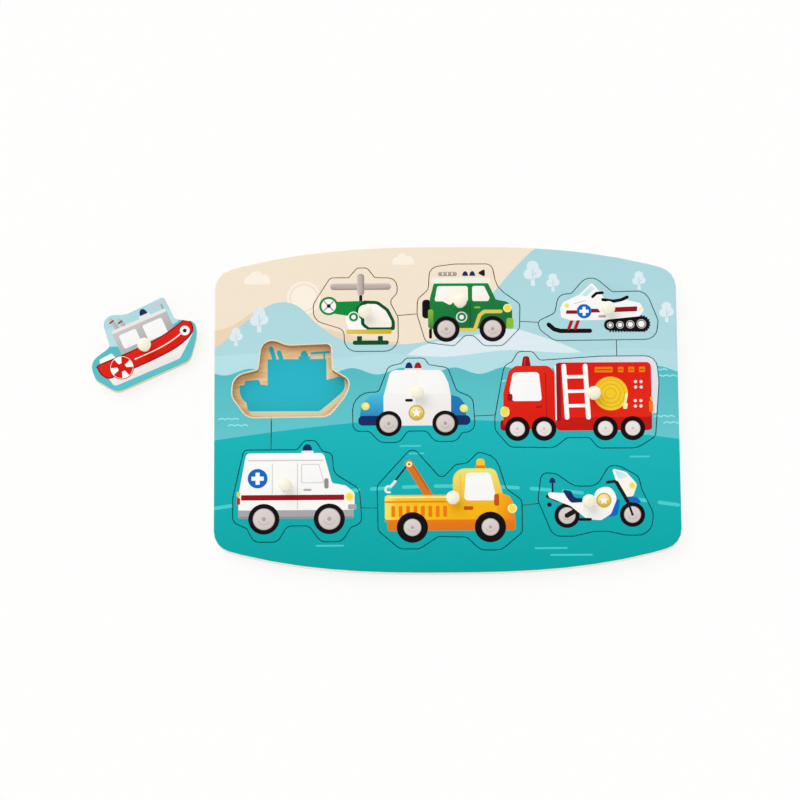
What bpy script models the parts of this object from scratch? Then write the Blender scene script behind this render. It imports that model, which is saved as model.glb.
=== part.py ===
"""Wooden vehicle puzzle: nine knobbed plates in the saw-cut openings of a printed board.

Metres, +Z up. The board lies on the table at z = 0 with its middle over the origin, and the
bottom edge of its picture faces -Y. Eight plates sit in their openings. The boat lies on the
table to the left of the board, so its recess is open.
"""
import math

import bmesh
import bpy
from mathutils import Vector

MM = 0.001

# Board: a face sheet with the openings, glued on a thin backing that is their floor. Only the
# top and bottom edges of the glued-up board are eased.
BACKING_THICKNESS = 2.7 * MM
FACE_THICKNESS = 6.0 * MM
GLUE_GAP = 0.3 * MM
SIDE_MARGIN = 12.1 * MM
TOP_MARGIN = 11.8 * MM
BOTTOM_MARGIN = 14.4 * MM
EDGE_BOW = 17.5 * MM
EDGE_BOW_POWER = 2.7
BOARD_CORNER_RADIUS = 13.5 * MM
BOARD_EASE = 0.8 * MM

# Saw cut round each plate, and the rubbed-down edges beside it
SAW_KERF = 0.8 * MM
PLATE_EASE = 0.5 * MM
OPENING_EASE = 0.3 * MM

# Turned knob with a round tenon, glued in a blind hole of its plate
KNOB_DIAMETER = 8.8 * MM
KNOB_HEIGHT = 9.4 * MM
KNOB_FOOT_DIAMETER = 6.4 * MM
KNOB_NECK_DIAMETER = 4.8 * MM
KNOB_CAP_THICKNESS = 4.6 * MM
KNOB_WIDEST_AT = 0.4
KNOB_LIP_AT = 0.1
KNOB_LIP_SHARE = 0.86
TENON_DIAMETER = 4.2 * MM
TENON_LENGTH = 3.6 * MM
TENON_EASE = 0.3 * MM
KNOB_FIT = 0.3 * MM

# The boat on the table beside the board
BOAT_GAP = 11.4 * MM
BOAT_UP = 42.6 * MM
BOAT_TURN = math.radians(23.8)

# Fineness of the curves. A step may be longer by the slack, and two fillets that meet on one
# side leave a sliver of it straight.
ARC_STEP = math.radians(20.0)
ARC_SLACK = 0.3
FILLET_ROOM = 0.998
EDGE_STEPS = 8
KNOB_SIDES = 16
CAP_STEPS = 4
NECK_STEPS = 3

# Outlines of the saw cuts. Each row is a corner's x and y from the knob and its radius, in
# millimetres, and the corners run clockwise.
HELICOPTER = (
    (-10.5, 24.5, 2), (-5, 31, 3), (1.5, 31, 3), (6.5, 24.5, 2), (21, 24, 6), (21, 14, 3.5),
    (16, 8.5, 4), (21.5, -2, 5), (21.5, -25, 9), (-13.5, -25, 8), (-13.5, -10.5, 5),
    (-33.5, -4, 8), (-33.5, 7, 6), (-22.5, 24.5, 3.5),
)
OFF_ROADER = (
    (-19.5, 24.5, 6.5), (-3, 26.5, 10), (21, 26.5, 5), (24, 10.5, 14), (39, -0.5, 4),
    (38.5, -17, 4), (27.5, -28.5, 5), (15.5, -28.5, 4), (8.5, -21.5, 4), (3, -21.5, 4),
    (-4, -28.5, 4), (-22.5, -26, 5), (-28, -7, 8), (-27.5, 3, 4), (-20.5, 9.5, 5),
)
SNOWMOBILE = (
    (-46, -7, 3), (-34.5, -1.5, 4), (-32, 11, 6), (-23.5, 11.5, 3), (-11.5, 25.5, 8.5),
    (3, 12.5, 3), (25, 13, 9), (32.5, -7, 5), (31, -19.5, 8), (-35, -20, 8), (-44, -13, 4),
)
BOAT = (
    (-18.5, 32, 7), (-3, 25.5, 8), (25, 26.5, 2.5), (25.5, 9.5, 3), (37, 2.5, 5),
    (35, -6, 12), (23.5, -20.5, 8), (-28.5, -21, 8), (-38, -7.5, 6), (-37.5, 5.5, 9),
    (-21, 9.5, 3),
)
POLICE_CAR = (
    (-42, 2, 12), (-25, 2, 3), (-18.5, 19, 5), (-10, 21, 2), (-7, 24.5, 3.5), (5, 24.5, 4),
    (7.5, 20, 3), (20, 18, 4), (25.5, 2.5, 5), (36, -2, 6), (37.5, -25, 6), (29, -25, 2.5),
    (25, -31, 6), (11, -31, 6), (6, -24, 4), (-6.5, -24, 4), (-11.5, -31.5, 6),
    (-24, -31.5, 6), (-31, -24, 4), (-41.5, -24, 4.5),
)
FIRE_ENGINE = (
    (-64, -14, 10), (-57.5, 20.5, 6), (-52.5, 22.5, 3), (-48.5, 29.5, 4), (-39, 29.5, 4),
    (-34.5, 23.5, 3), (5.5, 26, 30), (41, 26, 8), (42.5, 9, 20), (39.5, -27.5, 5),
    (27.5, -35, 10), (2.5, -35, 5), (-3, -28, 3), (-17.5, -28, 3), (-26, -34.5, 6),
    (-54.5, -34, 6), (-64, -22.5, 5),
)
AMBULANCE = (
    (-27, 24.5, 3), (7.5, 24.5, 3), (12, 30.5, 4), (19.5, 30.5, 4), (23.5, 23.5, 3),
    (30, 22, 4), (31, 9, 7), (47.5, -1.5, 7), (49, -24, 5), (42, -26.5, 3), (36, -36, 6),
    (22.5, -36, 6), (15, -25.5, 5), (1, -25.5, 5), (-5, -36, 6), (-20.5, -36, 6),
    (-25, -27, 3), (-34, -23, 5), (-34, -7, 10),
)
TOW_TRUCK = (
    (-25.5, 35, 4.5), (-7, 13.5, 3.5), (2, 23, 3), (9.5, 24, 4), (16.5, 31, 2.5),
    (28, 29, 12), (34.5, 7, 5), (44.5, -0.5, 4.5), (44.5, -21.5, 4), (31, -33, 8),
    (17.5, -33, 7), (9, -24.5, 5), (-9.5, -24, 5), (-21.5, -32, 6), (-34, -32, 6),
    (-48, -20, 5), (-48.5, 9.5, 5),
)
MOTORCYCLE = (
    (-30, 20.5, 4.5), (-20.5, 19.5, 6), (-9, 11.2, 10), (5.5, 11.2, 8), (13.5, 24.5, 4.5),
    (20, 24.5, 8), (32.5, 17.5, 6), (34.5, 8.5, 10), (41.5, -6.5, 9), (40, -21.5, 10),
    (23.5, -21, 8), (7.5, -17.5, 20), (-9.5, -21.5, 8), (-23, -21.5, 7), (-32.5, 2, 6),
)

# Rows of the picture from the bottom up. A vehicle stands to the right of its neighbour by
# the first gap, and clears whatever is below it by the second one. In the bottom row the
# second gap is measured from the lowest wheel.
BOTTOM_ROW = (
    ("ambulance", AMBULANCE, 0.0 * MM, 6.0 * MM),
    ("tow_truck", TOW_TRUCK, 10.0 * MM, 0.0 * MM),
    ("motorcycle", MOTORCYCLE, 10.4 * MM, 8.6 * MM),
)
MIDDLE_ROW = (
    ("boat", BOAT, 0.0 * MM, 16.4 * MM),
    ("police_car", POLICE_CAR, 3.0 * MM, 12.6 * MM),
    ("fire_engine", FIRE_ENGINE, 12.9 * MM, 11.6 * MM),
)
TOP_ROW = (
    ("helicopter", HELICOPTER, 52.0 * MM, 10.9 * MM),
    ("off_roader", OFF_ROADER, 12.3 * MM, 13.3 * MM),
    ("snowmobile", SNOWMOBILE, 11.8 * MM, 10.7 * MM),
)
ROWS = (BOTTOM_ROW, MIDDLE_ROW, TOP_ROW)

# Saw cuts that lead from one opening to the next. Each runs between two points inside the
# openings that it joins, given in millimetres from their knobs.
SAW_LINKS = (
    ("helicopter", (17, -1.5), "off_roader", (-23, -6.5)),
    ("off_roader", (34, -12), "snowmobile", (-41, -8)),
    ("snowmobile", (5, -15), "fire_engine", (15.5, 22)),
    ("police_car", (33, -14.5), "fire_engine", (-60, -12.5)),
    ("boat", (-13, -17), "ambulance", (-9.5, 20)),
    ("ambulance", (45, -14), "tow_truck", (-44, -5)),
    ("tow_truck", (40, -4.5), "motorcycle", (-28, 0.5)),
)

# Finish of each sub-part: red, green, blue and roughness
FACE_FINISH = (0.03, 0.43, 0.45, 0.42)
BACKING_FINISH = (0.74, 0.50, 0.30, 0.60)
KNOB_FINISH = (0.89, 0.86, 0.78, 0.38)
PLATE_FINISHES = {
    "helicopter": (0.02, 0.24, 0.06, 0.42),
    "off_roader": (0.01, 0.27, 0.05, 0.42),
    "snowmobile": (0.86, 0.85, 0.84, 0.42),
    "boat": (0.76, 0.02, 0.02, 0.42),
    "police_car": (0.02, 0.16, 0.56, 0.42),
    "fire_engine": (0.72, 0.02, 0.01, 0.42),
    "ambulance": (0.87, 0.86, 0.85, 0.42),
    "tow_truck": (0.95, 0.50, 0.04, 0.42),
    "motorcycle": (0.03, 0.06, 0.22, 0.42),
}

# Heights of the layers above the table
FACE_BOTTOM = BACKING_THICKNESS + GLUE_GAP
FACE_TOP = FACE_BOTTOM + FACE_THICKNESS
CUT_OVERSHOOT = 2.0 * MM
MERGE_DISTANCE = 0.001 * MM
EASED_FROM = math.radians(60.0)
SHARP_FROM = math.radians(50.0)


def rounded_outline(corners):
    """Points, each with its outward direction, of a clockwise outline with rounded corners."""
    count = len(corners)
    points = [point for point, _ in corners]
    back = [(points[i - 1] - points[i]).normalized() for i in range(count)]
    ahead = [(points[(i + 1) % count] - points[i]).normalized() for i in range(count)]
    half_angles = [back[i].angle(ahead[i]) / 2.0 for i in range(count)]
    reach = [corners[i][1] / math.tan(half_angles[i]) for i in range(count)]
    share = [1.0] * count
    for i in range(count):
        j = (i + 1) % count
        length = (points[j] - points[i]).length
        if reach[i] + reach[j] > length:
            room = FILLET_ROOM * length / (reach[i] + reach[j])
            share[i] = min(share[i], room)
            share[j] = min(share[j], room)
    outline = []
    for i in range(count):
        left_in = Vector((back[i].y, -back[i].x))
        left_out = Vector((-ahead[i].y, ahead[i].x))
        tangent = reach[i] * share[i]
        if tangent < MERGE_DISTANCE:
            miter = (left_in + left_out) / (1.0 + left_in.dot(left_out))
            outline.append((points[i], miter))
            continue
        radius = tangent * math.tan(half_angles[i])
        inward = (back[i] + ahead[i]).normalized()
        centre = points[i] + inward * (radius / math.sin(half_angles[i]))
        bulge = 1.0 if inward.dot(left_in) < 0.0 else -1.0
        sweep = math.pi - 2.0 * half_angles[i]
        steps = max(1, math.ceil(sweep / ARC_STEP - ARC_SLACK))
        for k in range(steps + 1):
            direction = left_in.slerp(left_out, k / steps)
            outline.append((centre + direction * radius * bulge, direction))
    return outline


def parallel(outline, distance):
    """The points that lie outside an outline by a distance."""
    return [point + outward * distance for point, outward in outline]


def cut_corners(rows):
    """A vehicle's corner list in metres."""
    return [(Vector((x * MM, y * MM)), radius * MM) for x, y, radius in rows]


def heights_at(outline, x):
    """Heights at which a vertical line through x crosses the outline."""
    found = []
    for index, end in enumerate(outline):
        start = outline[index - 1]
        if min(start.x, end.x) <= x <= max(start.x, end.x):
            if abs(end.x - start.x) < MERGE_DISTANCE:
                found += [start.y, end.y]
            else:
                share = (x - start.x) / (end.x - start.x)
                found.append(start.y + (end.y - start.y) * share)
    return found


def height_clear_of(outline, placed, gap):
    """How far up the outline has to move to clear every placed one below it by the gap."""
    needed = []
    for other in placed:
        for x in [point.x for point in outline + other]:
            above = heights_at(outline, x)
            below = heights_at(other, x)
            if above and below:
                needed.append(max(below) - min(above) + gap)
    return max(needed)


def shifted(outline, place):
    """The outline moved by a vector."""
    return [point + place for point in outline]


def lay_out(rows):
    """Place of each knob, and the lowest and highest corner that all saw cuts reach."""
    places = {}
    placed = []
    for row in rows:
        reached = 0.0
        finished = []
        for name, shape, gap_beside, gap_below in row:
            outline = parallel(rounded_outline(cut_corners(shape)), 0.0)
            across = reached + gap_beside - min(point.x for point in outline)
            outline = shifted(outline, Vector((across, 0.0)))
            if placed:
                up = height_clear_of(outline, placed, gap_below)
            else:
                up = gap_below - min(point.y for point in outline)
            outline = shifted(outline, Vector((0.0, up)))
            places[name] = Vector((across, up))
            reached = max(point.x for point in outline)
            finished.append(outline)
        placed += finished
    every = [point for outline in placed for point in outline]
    low = Vector((min(p.x for p in every), min(p.y for p in every)))
    high = Vector((max(p.x for p in every), max(p.y for p in every)))
    low -= Vector((SIDE_MARGIN, BOTTOM_MARGIN))
    high += Vector((SIDE_MARGIN, TOP_MARGIN))
    middle = (low + high) / 2.0
    for place in places.values():
        place -= middle
    return places, (high - low) / 2.0


def board_outline(half_size):
    """Clockwise outline with straight sides, bowed top and bottom and rounded corners."""
    def edge_height(x):
        return half_size.y - EDGE_BOW * abs(x / half_size.x) ** EDGE_BOW_POWER

    corners = []
    for side in (1.0, -1.0):
        for step in range(-EDGE_STEPS, EDGE_STEPS + 1):
            x = half_size.x * step / EDGE_STEPS
            at_corner = abs(step) == EDGE_STEPS
            radius = BOARD_CORNER_RADIUS if at_corner else 0.0
            corners.append((Vector((x * side, edge_height(x) * side)), radius))
    return rounded_outline(corners)


def new_object(name, bm):
    """An object that holds the finished mesh."""
    bmesh.ops.recalc_face_normals(bm, faces=bm.faces)
    mesh = bpy.data.meshes.new(name)
    bm.to_mesh(mesh)
    bm.free()
    obj = bpy.data.objects.new(name, mesh)
    bpy.context.scene.collection.objects.link(obj)
    return obj


def sheet(name, layers):
    """A solid between outlines of like point counts, each given with its height."""
    bm = bmesh.new()
    rings = []
    for outline, height in layers:
        rings.append([bm.verts.new((point.x, point.y, height)) for point in outline])
    bm.faces.new(rings[0])
    bm.faces.new(reversed(rings[-1]))
    for lower, upper in zip(rings, rings[1:]):
        for i in range(len(lower)):
            bm.faces.new((lower[i - 1], lower[i], upper[i], upper[i - 1]))
    return new_object(name, bm)


def turned(name, profile, sides):
    """A round solid about Z from the radii and heights of its profile, from foot to top."""
    bm = bmesh.new()
    line = [bm.verts.new((radius, 0.0, height)) for radius, height in profile]
    edges = [bm.edges.new(pair) for pair in zip(line, line[1:])]
    bmesh.ops.spin(
        bm, geom=line + edges, cent=(0.0, 0.0, 0.0), axis=(0.0, 0.0, 1.0),
        angle=2.0 * math.pi, steps=sides,
    )
    bmesh.ops.remove_doubles(bm, verts=bm.verts, dist=MERGE_DISTANCE)
    return new_object(name, bm)


def finish(obj, look, smooth=False):
    """Give a sub-part its own material, and smooth shading where it is round."""
    red, green, blue, roughness = look
    material = bpy.data.materials.new(obj.name)
    material.use_nodes = True
    shader = material.node_tree.nodes["Principled BSDF"]
    shader.inputs["Base Color"].default_value = (red, green, blue, 1.0)
    shader.inputs["Roughness"].default_value = roughness
    shader.inputs["Metallic"].default_value = 0.0
    material.diffuse_color = (red, green, blue, 1.0)
    obj.data.materials.append(material)
    if smooth:
        obj.data.shade_smooth()
        obj.data.set_sharp_from_angle(angle=SHARP_FROM)


def ease_edges(obj, width):
    """Bevel the rims of a sheet."""
    bevel = obj.modifiers.new("Eased edges", "BEVEL")
    bevel.width = width
    bevel.segments = 1
    bevel.limit_method = "ANGLE"
    bevel.angle_limit = EASED_FROM


def subtract(obj, cutter):
    """Cut a hidden guide solid out of a sub-part."""
    cutter.hide_render = True
    cutter.display_type = "WIRE"
    cut = obj.modifiers.new(cutter.name, "BOOLEAN")
    cut.operation = "DIFFERENCE"
    cut.solver = "EXACT"
    cut.object = cutter


def opening_cutter(name, shape, place):
    """The space that the saw leaves for a plate, flared at the rubbed-down rim."""
    saw_path = rounded_outline(cut_corners(shape))
    wall = shifted(parallel(saw_path, SAW_KERF / 2.0), place)
    rim = shifted(parallel(saw_path, SAW_KERF / 2.0 + OPENING_EASE), place)
    return sheet(name, (
        (wall, FACE_BOTTOM - CUT_OVERSHOOT),
        (wall, FACE_TOP - OPENING_EASE),
        (rim, FACE_TOP),
        (rim, FACE_TOP + CUT_OVERSHOOT),
    ))


def link_cutter(name, start, end):
    """A saw cut between two points, as wide as the blade."""
    along = (end - start).normalized() * (SAW_KERF / 2.0)
    beside = Vector((-along.y, along.x))
    outline = (start + beside, end + beside, end - beside, start - beside)
    return sheet(name, (
        (outline, FACE_BOTTOM - CUT_OVERSHOOT),
        (outline, FACE_TOP + CUT_OVERSHOOT),
    ))


def make_board(places, half_size):
    """The backing, and the face sheet with its openings and the cuts that join them."""
    outline = board_outline(half_size)
    side = parallel(outline, 0.0)
    rim = parallel(outline, -BOARD_EASE)
    backing = sheet("backing_board", (
        (rim, 0.0),
        (side, BOARD_EASE),
        (side, BACKING_THICKNESS),
    ))
    finish(backing, BACKING_FINISH)

    face = sheet("face_board", (
        (side, FACE_BOTTOM),
        (side, FACE_TOP - BOARD_EASE),
        (rim, FACE_TOP),
    ))
    finish(face, FACE_FINISH)
    for row in ROWS:
        for name, shape, _, _ in row:
            subtract(face, opening_cutter(name + "_opening", shape, places[name]))
    for first, start, second, end in SAW_LINKS:
        cutter = link_cutter(
            "saw_cut_" + first + "_to_" + second,
            places[first] + Vector(start) * MM,
            places[second] + Vector(end) * MM,
        )
        subtract(face, cutter)


def knob_profile():
    """Radii and heights of a knob above its plate's face, from the tenon's tip up."""
    tenon = TENON_DIAMETER / 2.0
    foot = KNOB_FOOT_DIAMETER / 2.0
    neck = KNOB_NECK_DIAMETER / 2.0
    cap = KNOB_DIAMETER / 2.0
    cap_bottom = KNOB_HEIGHT - KNOB_CAP_THICKNESS
    profile = [
        (0.0, -TENON_LENGTH),
        (tenon - TENON_EASE, -TENON_LENGTH),
        (tenon, TENON_EASE - TENON_LENGTH),
        (tenon, KNOB_FIT),
    ]
    for step in range(NECK_STEPS + 1):
        share = step / NECK_STEPS
        sway = math.cos(share * math.pi / 2.0)
        height = KNOB_FIT + (cap_bottom - KNOB_FIT) * share
        profile.append((neck + (foot - neck) * sway ** 2, height))
    widest = cap_bottom + KNOB_CAP_THICKNESS * KNOB_WIDEST_AT
    profile.append((cap * KNOB_LIP_SHARE, cap_bottom + KNOB_CAP_THICKNESS * KNOB_LIP_AT))
    for step in range(CAP_STEPS):
        angle = math.pi / 2.0 * step / CAP_STEPS
        height = widest + (KNOB_HEIGHT - widest) * math.sin(angle)
        profile.append((cap * math.cos(angle), height))
    profile.append((0.0, KNOB_HEIGHT))
    return profile


def make_plate(name, shape, place, seat, turn):
    """One vehicle plate with its knob; the plate's origin is on the knob's axis."""
    outline = parallel(rounded_outline(cut_corners(shape)), -SAW_KERF / 2.0)
    plate = sheet(name + "_piece", ((outline, 0.0), (outline, FACE_THICKNESS)))
    ease_edges(plate, PLATE_EASE)
    hole = turned(name + "_knob_hole", (
        (0.0, FACE_THICKNESS - TENON_LENGTH - KNOB_FIT),
        (TENON_DIAMETER / 2.0 + KNOB_FIT, FACE_THICKNESS - TENON_LENGTH - KNOB_FIT),
        (TENON_DIAMETER / 2.0 + KNOB_FIT, FACE_THICKNESS + CUT_OVERSHOOT),
        (0.0, FACE_THICKNESS + CUT_OVERSHOOT),
    ), KNOB_SIDES)
    subtract(plate, hole)
    finish(plate, PLATE_FINISHES[name])

    knob = turned(name + "_knob", knob_profile(), KNOB_SIDES)
    finish(knob, KNOB_FINISH, smooth=True)
    knob.parent = plate
    hole.parent = plate
    knob.location = (0.0, 0.0, FACE_THICKNESS)
    plate.location = (place.x, place.y, seat)
    plate.rotation_euler = (0.0, 0.0, turn)


def boat_place(half_size):
    """Where the boat's knob stands, so that the turned plate clears the board's side."""
    outline = parallel(rounded_outline(cut_corners(BOAT)), 0.0)
    right = max(p.x * math.cos(BOAT_TURN) - p.y * math.sin(BOAT_TURN) for p in outline)
    return Vector((-half_size.x - BOAT_GAP - right, BOAT_UP))


def main():
    """Clear the scene and build the puzzle."""
    for obj in list(bpy.data.objects):
        bpy.data.objects.remove(obj, do_unlink=True)
    places, half_size = lay_out(ROWS)
    make_board(places, half_size)
    for row in ROWS:
        for name, shape, _, _ in row:
            if name == "boat":
                make_plate(name, shape, boat_place(half_size), 0.0, BOAT_TURN)
            else:
                make_plate(name, shape, places[name], FACE_BOTTOM, 0.0)


main()
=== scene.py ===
"""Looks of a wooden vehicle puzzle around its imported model.

A sheet of plywood is printed, sawn into nine plates and glued on a thin backing. The picture is
drawn here as flat printed shapes, and the top face of each sheet is divided along their
outlines, so an ink ends exactly where its shape ends. The drawings are in millimetres, x to the
right and y up, from a vehicle's knob or from the middle of the board.
"""

import math
from collections import defaultdict, namedtuple

import bmesh
import bpy
import numpy as np
from mathutils import Matrix, Vector
from mathutils.geometry import delaunay_2d_cdt


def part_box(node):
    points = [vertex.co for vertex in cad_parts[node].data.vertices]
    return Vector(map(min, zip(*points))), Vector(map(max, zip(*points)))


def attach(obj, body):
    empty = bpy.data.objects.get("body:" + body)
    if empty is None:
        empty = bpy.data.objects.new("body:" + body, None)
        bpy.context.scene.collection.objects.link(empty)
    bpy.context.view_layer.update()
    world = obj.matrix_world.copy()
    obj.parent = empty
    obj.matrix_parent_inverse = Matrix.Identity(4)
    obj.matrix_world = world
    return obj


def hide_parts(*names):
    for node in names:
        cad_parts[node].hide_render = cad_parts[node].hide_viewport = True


bl_info = {
    "name": "Vehicle Puzzle Looks",
    "version": (1, 0, 0),
    "blender": (4, 5, 0),
    "location": "3D Viewport > Sidebar > Puzzle",
    "description": "Prints, saws, turns and lights a wooden vehicle puzzle",
    "category": "Object",
}

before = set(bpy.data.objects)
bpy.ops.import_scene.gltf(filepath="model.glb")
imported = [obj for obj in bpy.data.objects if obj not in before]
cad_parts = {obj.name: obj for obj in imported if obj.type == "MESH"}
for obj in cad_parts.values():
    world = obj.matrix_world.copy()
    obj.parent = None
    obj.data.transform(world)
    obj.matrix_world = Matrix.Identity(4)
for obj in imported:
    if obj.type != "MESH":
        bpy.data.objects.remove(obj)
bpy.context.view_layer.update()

MM = 0.001
TO_MM = 1000.0
VEHICLES = (
    "helicopter", "off_roader", "snowmobile", "boat", "police_car", "fire_engine", "ambulance",
    "tow_truck", "motorcycle",
)
FACE_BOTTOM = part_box("face_board")[0].z
FACE_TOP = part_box("face_board")[1].z
KNOB_LOW, KNOB_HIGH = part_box("police_car_knob")

# From a plate's wall over the saw cut and the flare of its opening
SAW_FLARE = 1.1 * MM

# How far each sawn side of the printed pieces stands into the solids' clearance, because the
# real cuts look finer
CUT_CLOSED = 0.15 * MM

# Glue line left between the backing's top and the face board
GLUE_LEFT = 0.06 * MM

# Where the boat's knob stood on the printed sheet before it was sawn out and turned
BOAT_RECESS = Vector((-99.90 * MM, 16.06 * MM, FACE_TOP - FACE_BOTTOM))
BOAT_TURN = math.radians(23.8)

# Steeper corners than this stay sharp in the shading
SHARP_ANGLE = math.radians(50.0)

# The width of the picture in pixels, and of the camera's film in millimetres
PICTURE_WIDTH = 800.0
FILM_WIDTH = 36.0

# How far the camera sees and how far the studio's floor reaches from its middle, in metres,
# and how far it lies under the board
CAMERA_REACH = 50.0
FLOOR_REACH = 6.0
FLOOR_GAP = 0.02 * MM

# Print inks as sRGB levels out of 255
INKS = {
    "sand": (243, 228, 206), "dune": (236, 214, 184), "cloud": (251, 241, 225),
    "mist": (184, 226, 231), "haze": (177, 219, 225), "hill": (170, 214, 219),
    "snow": (222, 236, 241), "frost": (230, 229, 240), "lagoon": (84, 188, 196),
    "shoal": (104, 200, 206), "bay": (26, 182, 187), "deep": (0, 161, 159),
    "dash": (74, 206, 204), "foam": (150, 226, 228), "well": (40, 185, 203),
    # The first ink of this row is painted light for the recess floor, not print
    "primer": (228, 222, 188), "white": (253, 251, 249), "ivory": (244, 243, 228),
    "glass": (246, 246, 244), "linen": (236, 232, 230), "silver": (206, 203, 204),
    "pewter": (168, 166, 168), "stone": (190, 174, 160), "taupe": (150, 140, 138),
    "hub": (208, 197, 193), "hub_lit": (222, 213, 208), "hub_low": (176, 164, 162),
    "shell": (230, 219, 212), "tyre": (14, 6, 10), "coal": (28, 22, 28), "red": (219, 24, 12),
    "scarlet": (228, 40, 22), "crimson": (150, 18, 26), "brick": (182, 22, 20),
    "amber": (248, 202, 42), "honey": (245, 182, 20), "orange": (236, 124, 16),
    "copper": (216, 116, 32), "rust": (196, 84, 10), "lemon": (244, 222, 78),
    "canary": (243, 232, 104), "butter": (241, 228, 118), "gold": (208, 174, 40),
    "brass": (224, 200, 88), "straw": (252, 240, 172), "leaf": (16, 138, 58),
    "fir": (34, 102, 60), "pine": (0, 80, 42), "lime": (140, 186, 56),
    "azure": (76, 190, 222), "ocean": (30, 124, 184), "slate": (36, 110, 162),
    "cobalt": (16, 104, 196), "navy": (22, 44, 98),
}


# Settings

def colour_setting(name, description, colour):
    """A colour that a user may change."""
    return bpy.props.FloatVectorProperty(
        name=name, description=description, subtype="COLOR_GAMMA", size=3, min=0.0, max=1.0,
        default=colour)


def length_setting(name, description, length, **limits):
    """A length in metres that a user may change."""
    return bpy.props.FloatProperty(
        name=name, description=description, subtype="DISTANCE", unit="LENGTH", default=length,
        **limits)


def angle_setting(name, description, degrees):
    """An angle that a user may change."""
    return bpy.props.FloatProperty(
        name=name, description=description, subtype="ANGLE", unit="ROTATION",
        default=math.radians(degrees))


def share_setting(name, description, share):
    """A share from nought to one that a user may change."""
    return bpy.props.FloatProperty(
        name=name, description=description, subtype="FACTOR", min=0.0, max=1.0, default=share)


def ink_setting(name, levels):
    """The colour setting of one ink."""
    label = name.replace("_", " ")
    return colour_setting(
        label.capitalize(), "Print ink: " + label, [level / 255.0 for level in levels])


def wood_setting(what, colour):
    """The colour setting of one cut of the wood."""
    return colour_setting(what[0].upper() + what[1:], "Wood colour of the " + what, colour)


class PuzzleInks(bpy.types.PropertyGroup):
    """Inks of the printed picture."""

    __annotations__ = {name: ink_setting(name, levels) for name, levels in INKS.items()}


class PuzzleWood(bpy.types.PropertyGroup):
    """Plywood and the saw's marks on it."""

    rim_light: wood_setting("rubbed rims", (0.965, 0.925, 0.835))
    rim_dark: wood_setting("dark grain of the rubbed rims", (0.925, 0.86, 0.73))
    side_light: wood_setting("board's sanded side", (0.96, 0.935, 0.885))
    side_dark: wood_setting("cross plies of the board's side", (0.925, 0.87, 0.78))
    plate_light: wood_setting("plates' sanded sides", (0.95, 0.88, 0.76))
    plate_dark: wood_setting("cross plies of the plates' sides", (0.89, 0.78, 0.62))
    # The openings' sides are darker and more orange than the plates' sides of the same plywood:
    # partly rougher sawn wood, partly painted shade of the recesses' walls
    shaded_opening_ply: wood_setting("openings' sawn sides", (0.80, 0.60, 0.40))
    shaded_opening_cross_ply: wood_setting("cross plies of the openings' sides", (0.64, 0.43, 0.26))
    floor_light: wood_setting("pale grain of the backing", (0.97, 0.86, 0.67))
    floor_dark: wood_setting("dark grain of the backing", (0.93, 0.735, 0.505))
    ply: length_setting("Ply", "Thickness of one ply", 1.2 * MM, min=0.3 * MM, max=3.0 * MM)
    bare_rim: length_setting(
        "Bare rim", "Bare wood round the empty recess", 0.5 * MM, min=0.0, max=2.0 * MM)
    rim_rings: bpy.props.IntProperty(
        name="Rim steps", description="Steps of a rounded rim", default=3, min=1, max=8)


class PuzzleKnobs(bpy.types.PropertyGroup):
    """Turned knobs."""

    diameter: length_setting("Diameter", "Width of the cap", KNOB_HIGH.x - KNOB_LOW.x)
    height: length_setting("Height", "Top of the cap above the plate", KNOB_HIGH.z - FACE_TOP)
    foot: length_setting("Foot", "Width of the foot on the plate", 6.4 * MM)
    neck: length_setting("Neck", "Width of the neck", 4.8 * MM)
    cap: length_setting("Cap", "Thickness of the cap", 4.6 * MM)
    tenon: length_setting("Tenon", "Width of the tenon in the plate", 4.2 * MM)
    tenon_length: length_setting(
        "Tenon length", "Depth of the tenon in the plate", FACE_TOP - KNOB_LOW.z)
    paint: colour_setting("Paint", "Cream paint of the knobs", (0.972, 0.95, 0.868))
    sides: bpy.props.IntProperty(
        name="Sides", description="Faces round a knob", default=48, min=12, max=128)


class PuzzleStudio(bpy.types.PropertyGroup):
    """Camera, lamps and floor."""

    elevation: angle_setting("Elevation", "Camera above the horizon", 77.0)
    azimuth: angle_setting("Azimuth", "Camera's turn about the board", -0.4)
    distance: length_setting("Distance", "Camera to the picture's face", 2.4)
    pixel: length_setting("Pixel", "Width on the board of one of the picture's pixels",
                          0.6454 * MM)
    middle: bpy.props.FloatVectorProperty(
        name="Middle", description="Pixels from the picture's middle to the board's middle",
        size=2, default=(46.5, -7.8))
    sun_share: share_setting(
        "Key light", "Share of the light that comes from the key lamp", 0.24)
    horizon: bpy.props.FloatProperty(
        name="Horizon glow", description="How much brighter the tent's sides are than its top",
        default=2.5, min=0.0, max=10.0)
    evenness: share_setting(
        "Floor evenness", "Share of the floor that the camera sees unshaded", 0.72)
    sun_elevation: angle_setting("Key height", "Key lamp above the horizon", 52.0)
    sun_azimuth: angle_setting(
        "Key direction", "Key lamp's turn from the picture's right side", 128.0)
    sun_softness: angle_setting("Key size", "Angle that the key lamp fills", 50.0)
    floor: colour_setting("Floor", "Pale studio floor", (0.999, 0.998, 0.996))


class PuzzleSettings(bpy.types.PropertyGroup):
    """All settings of the puzzle's looks."""

    inks: bpy.props.PointerProperty(type=PuzzleInks)
    wood: bpy.props.PointerProperty(type=PuzzleWood)
    knobs: bpy.props.PointerProperty(type=PuzzleKnobs)
    studio: bpy.props.PointerProperty(type=PuzzleStudio)


def linear(colour):
    """Scene-linear values of an sRGB colour."""
    return tuple(
        level / 12.92 if level <= 0.04045 else ((level + 0.055) / 1.055) ** 2.4
        for level in colour
    )


# Drawing

# A printed shape: its ink, or two inks and the way in which the first fades to the second.
# A shape without an ink leaves the wood bare.
Mark = namedtuple("Mark", "ink outline")

# How far a drawn arc's sides may lie inside its circle, in millimetres
ROUNDNESS = 0.025

# Half the angle between two sides that meet in a nearly straight line
NEARLY_STRAIGHT = 1.56


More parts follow.
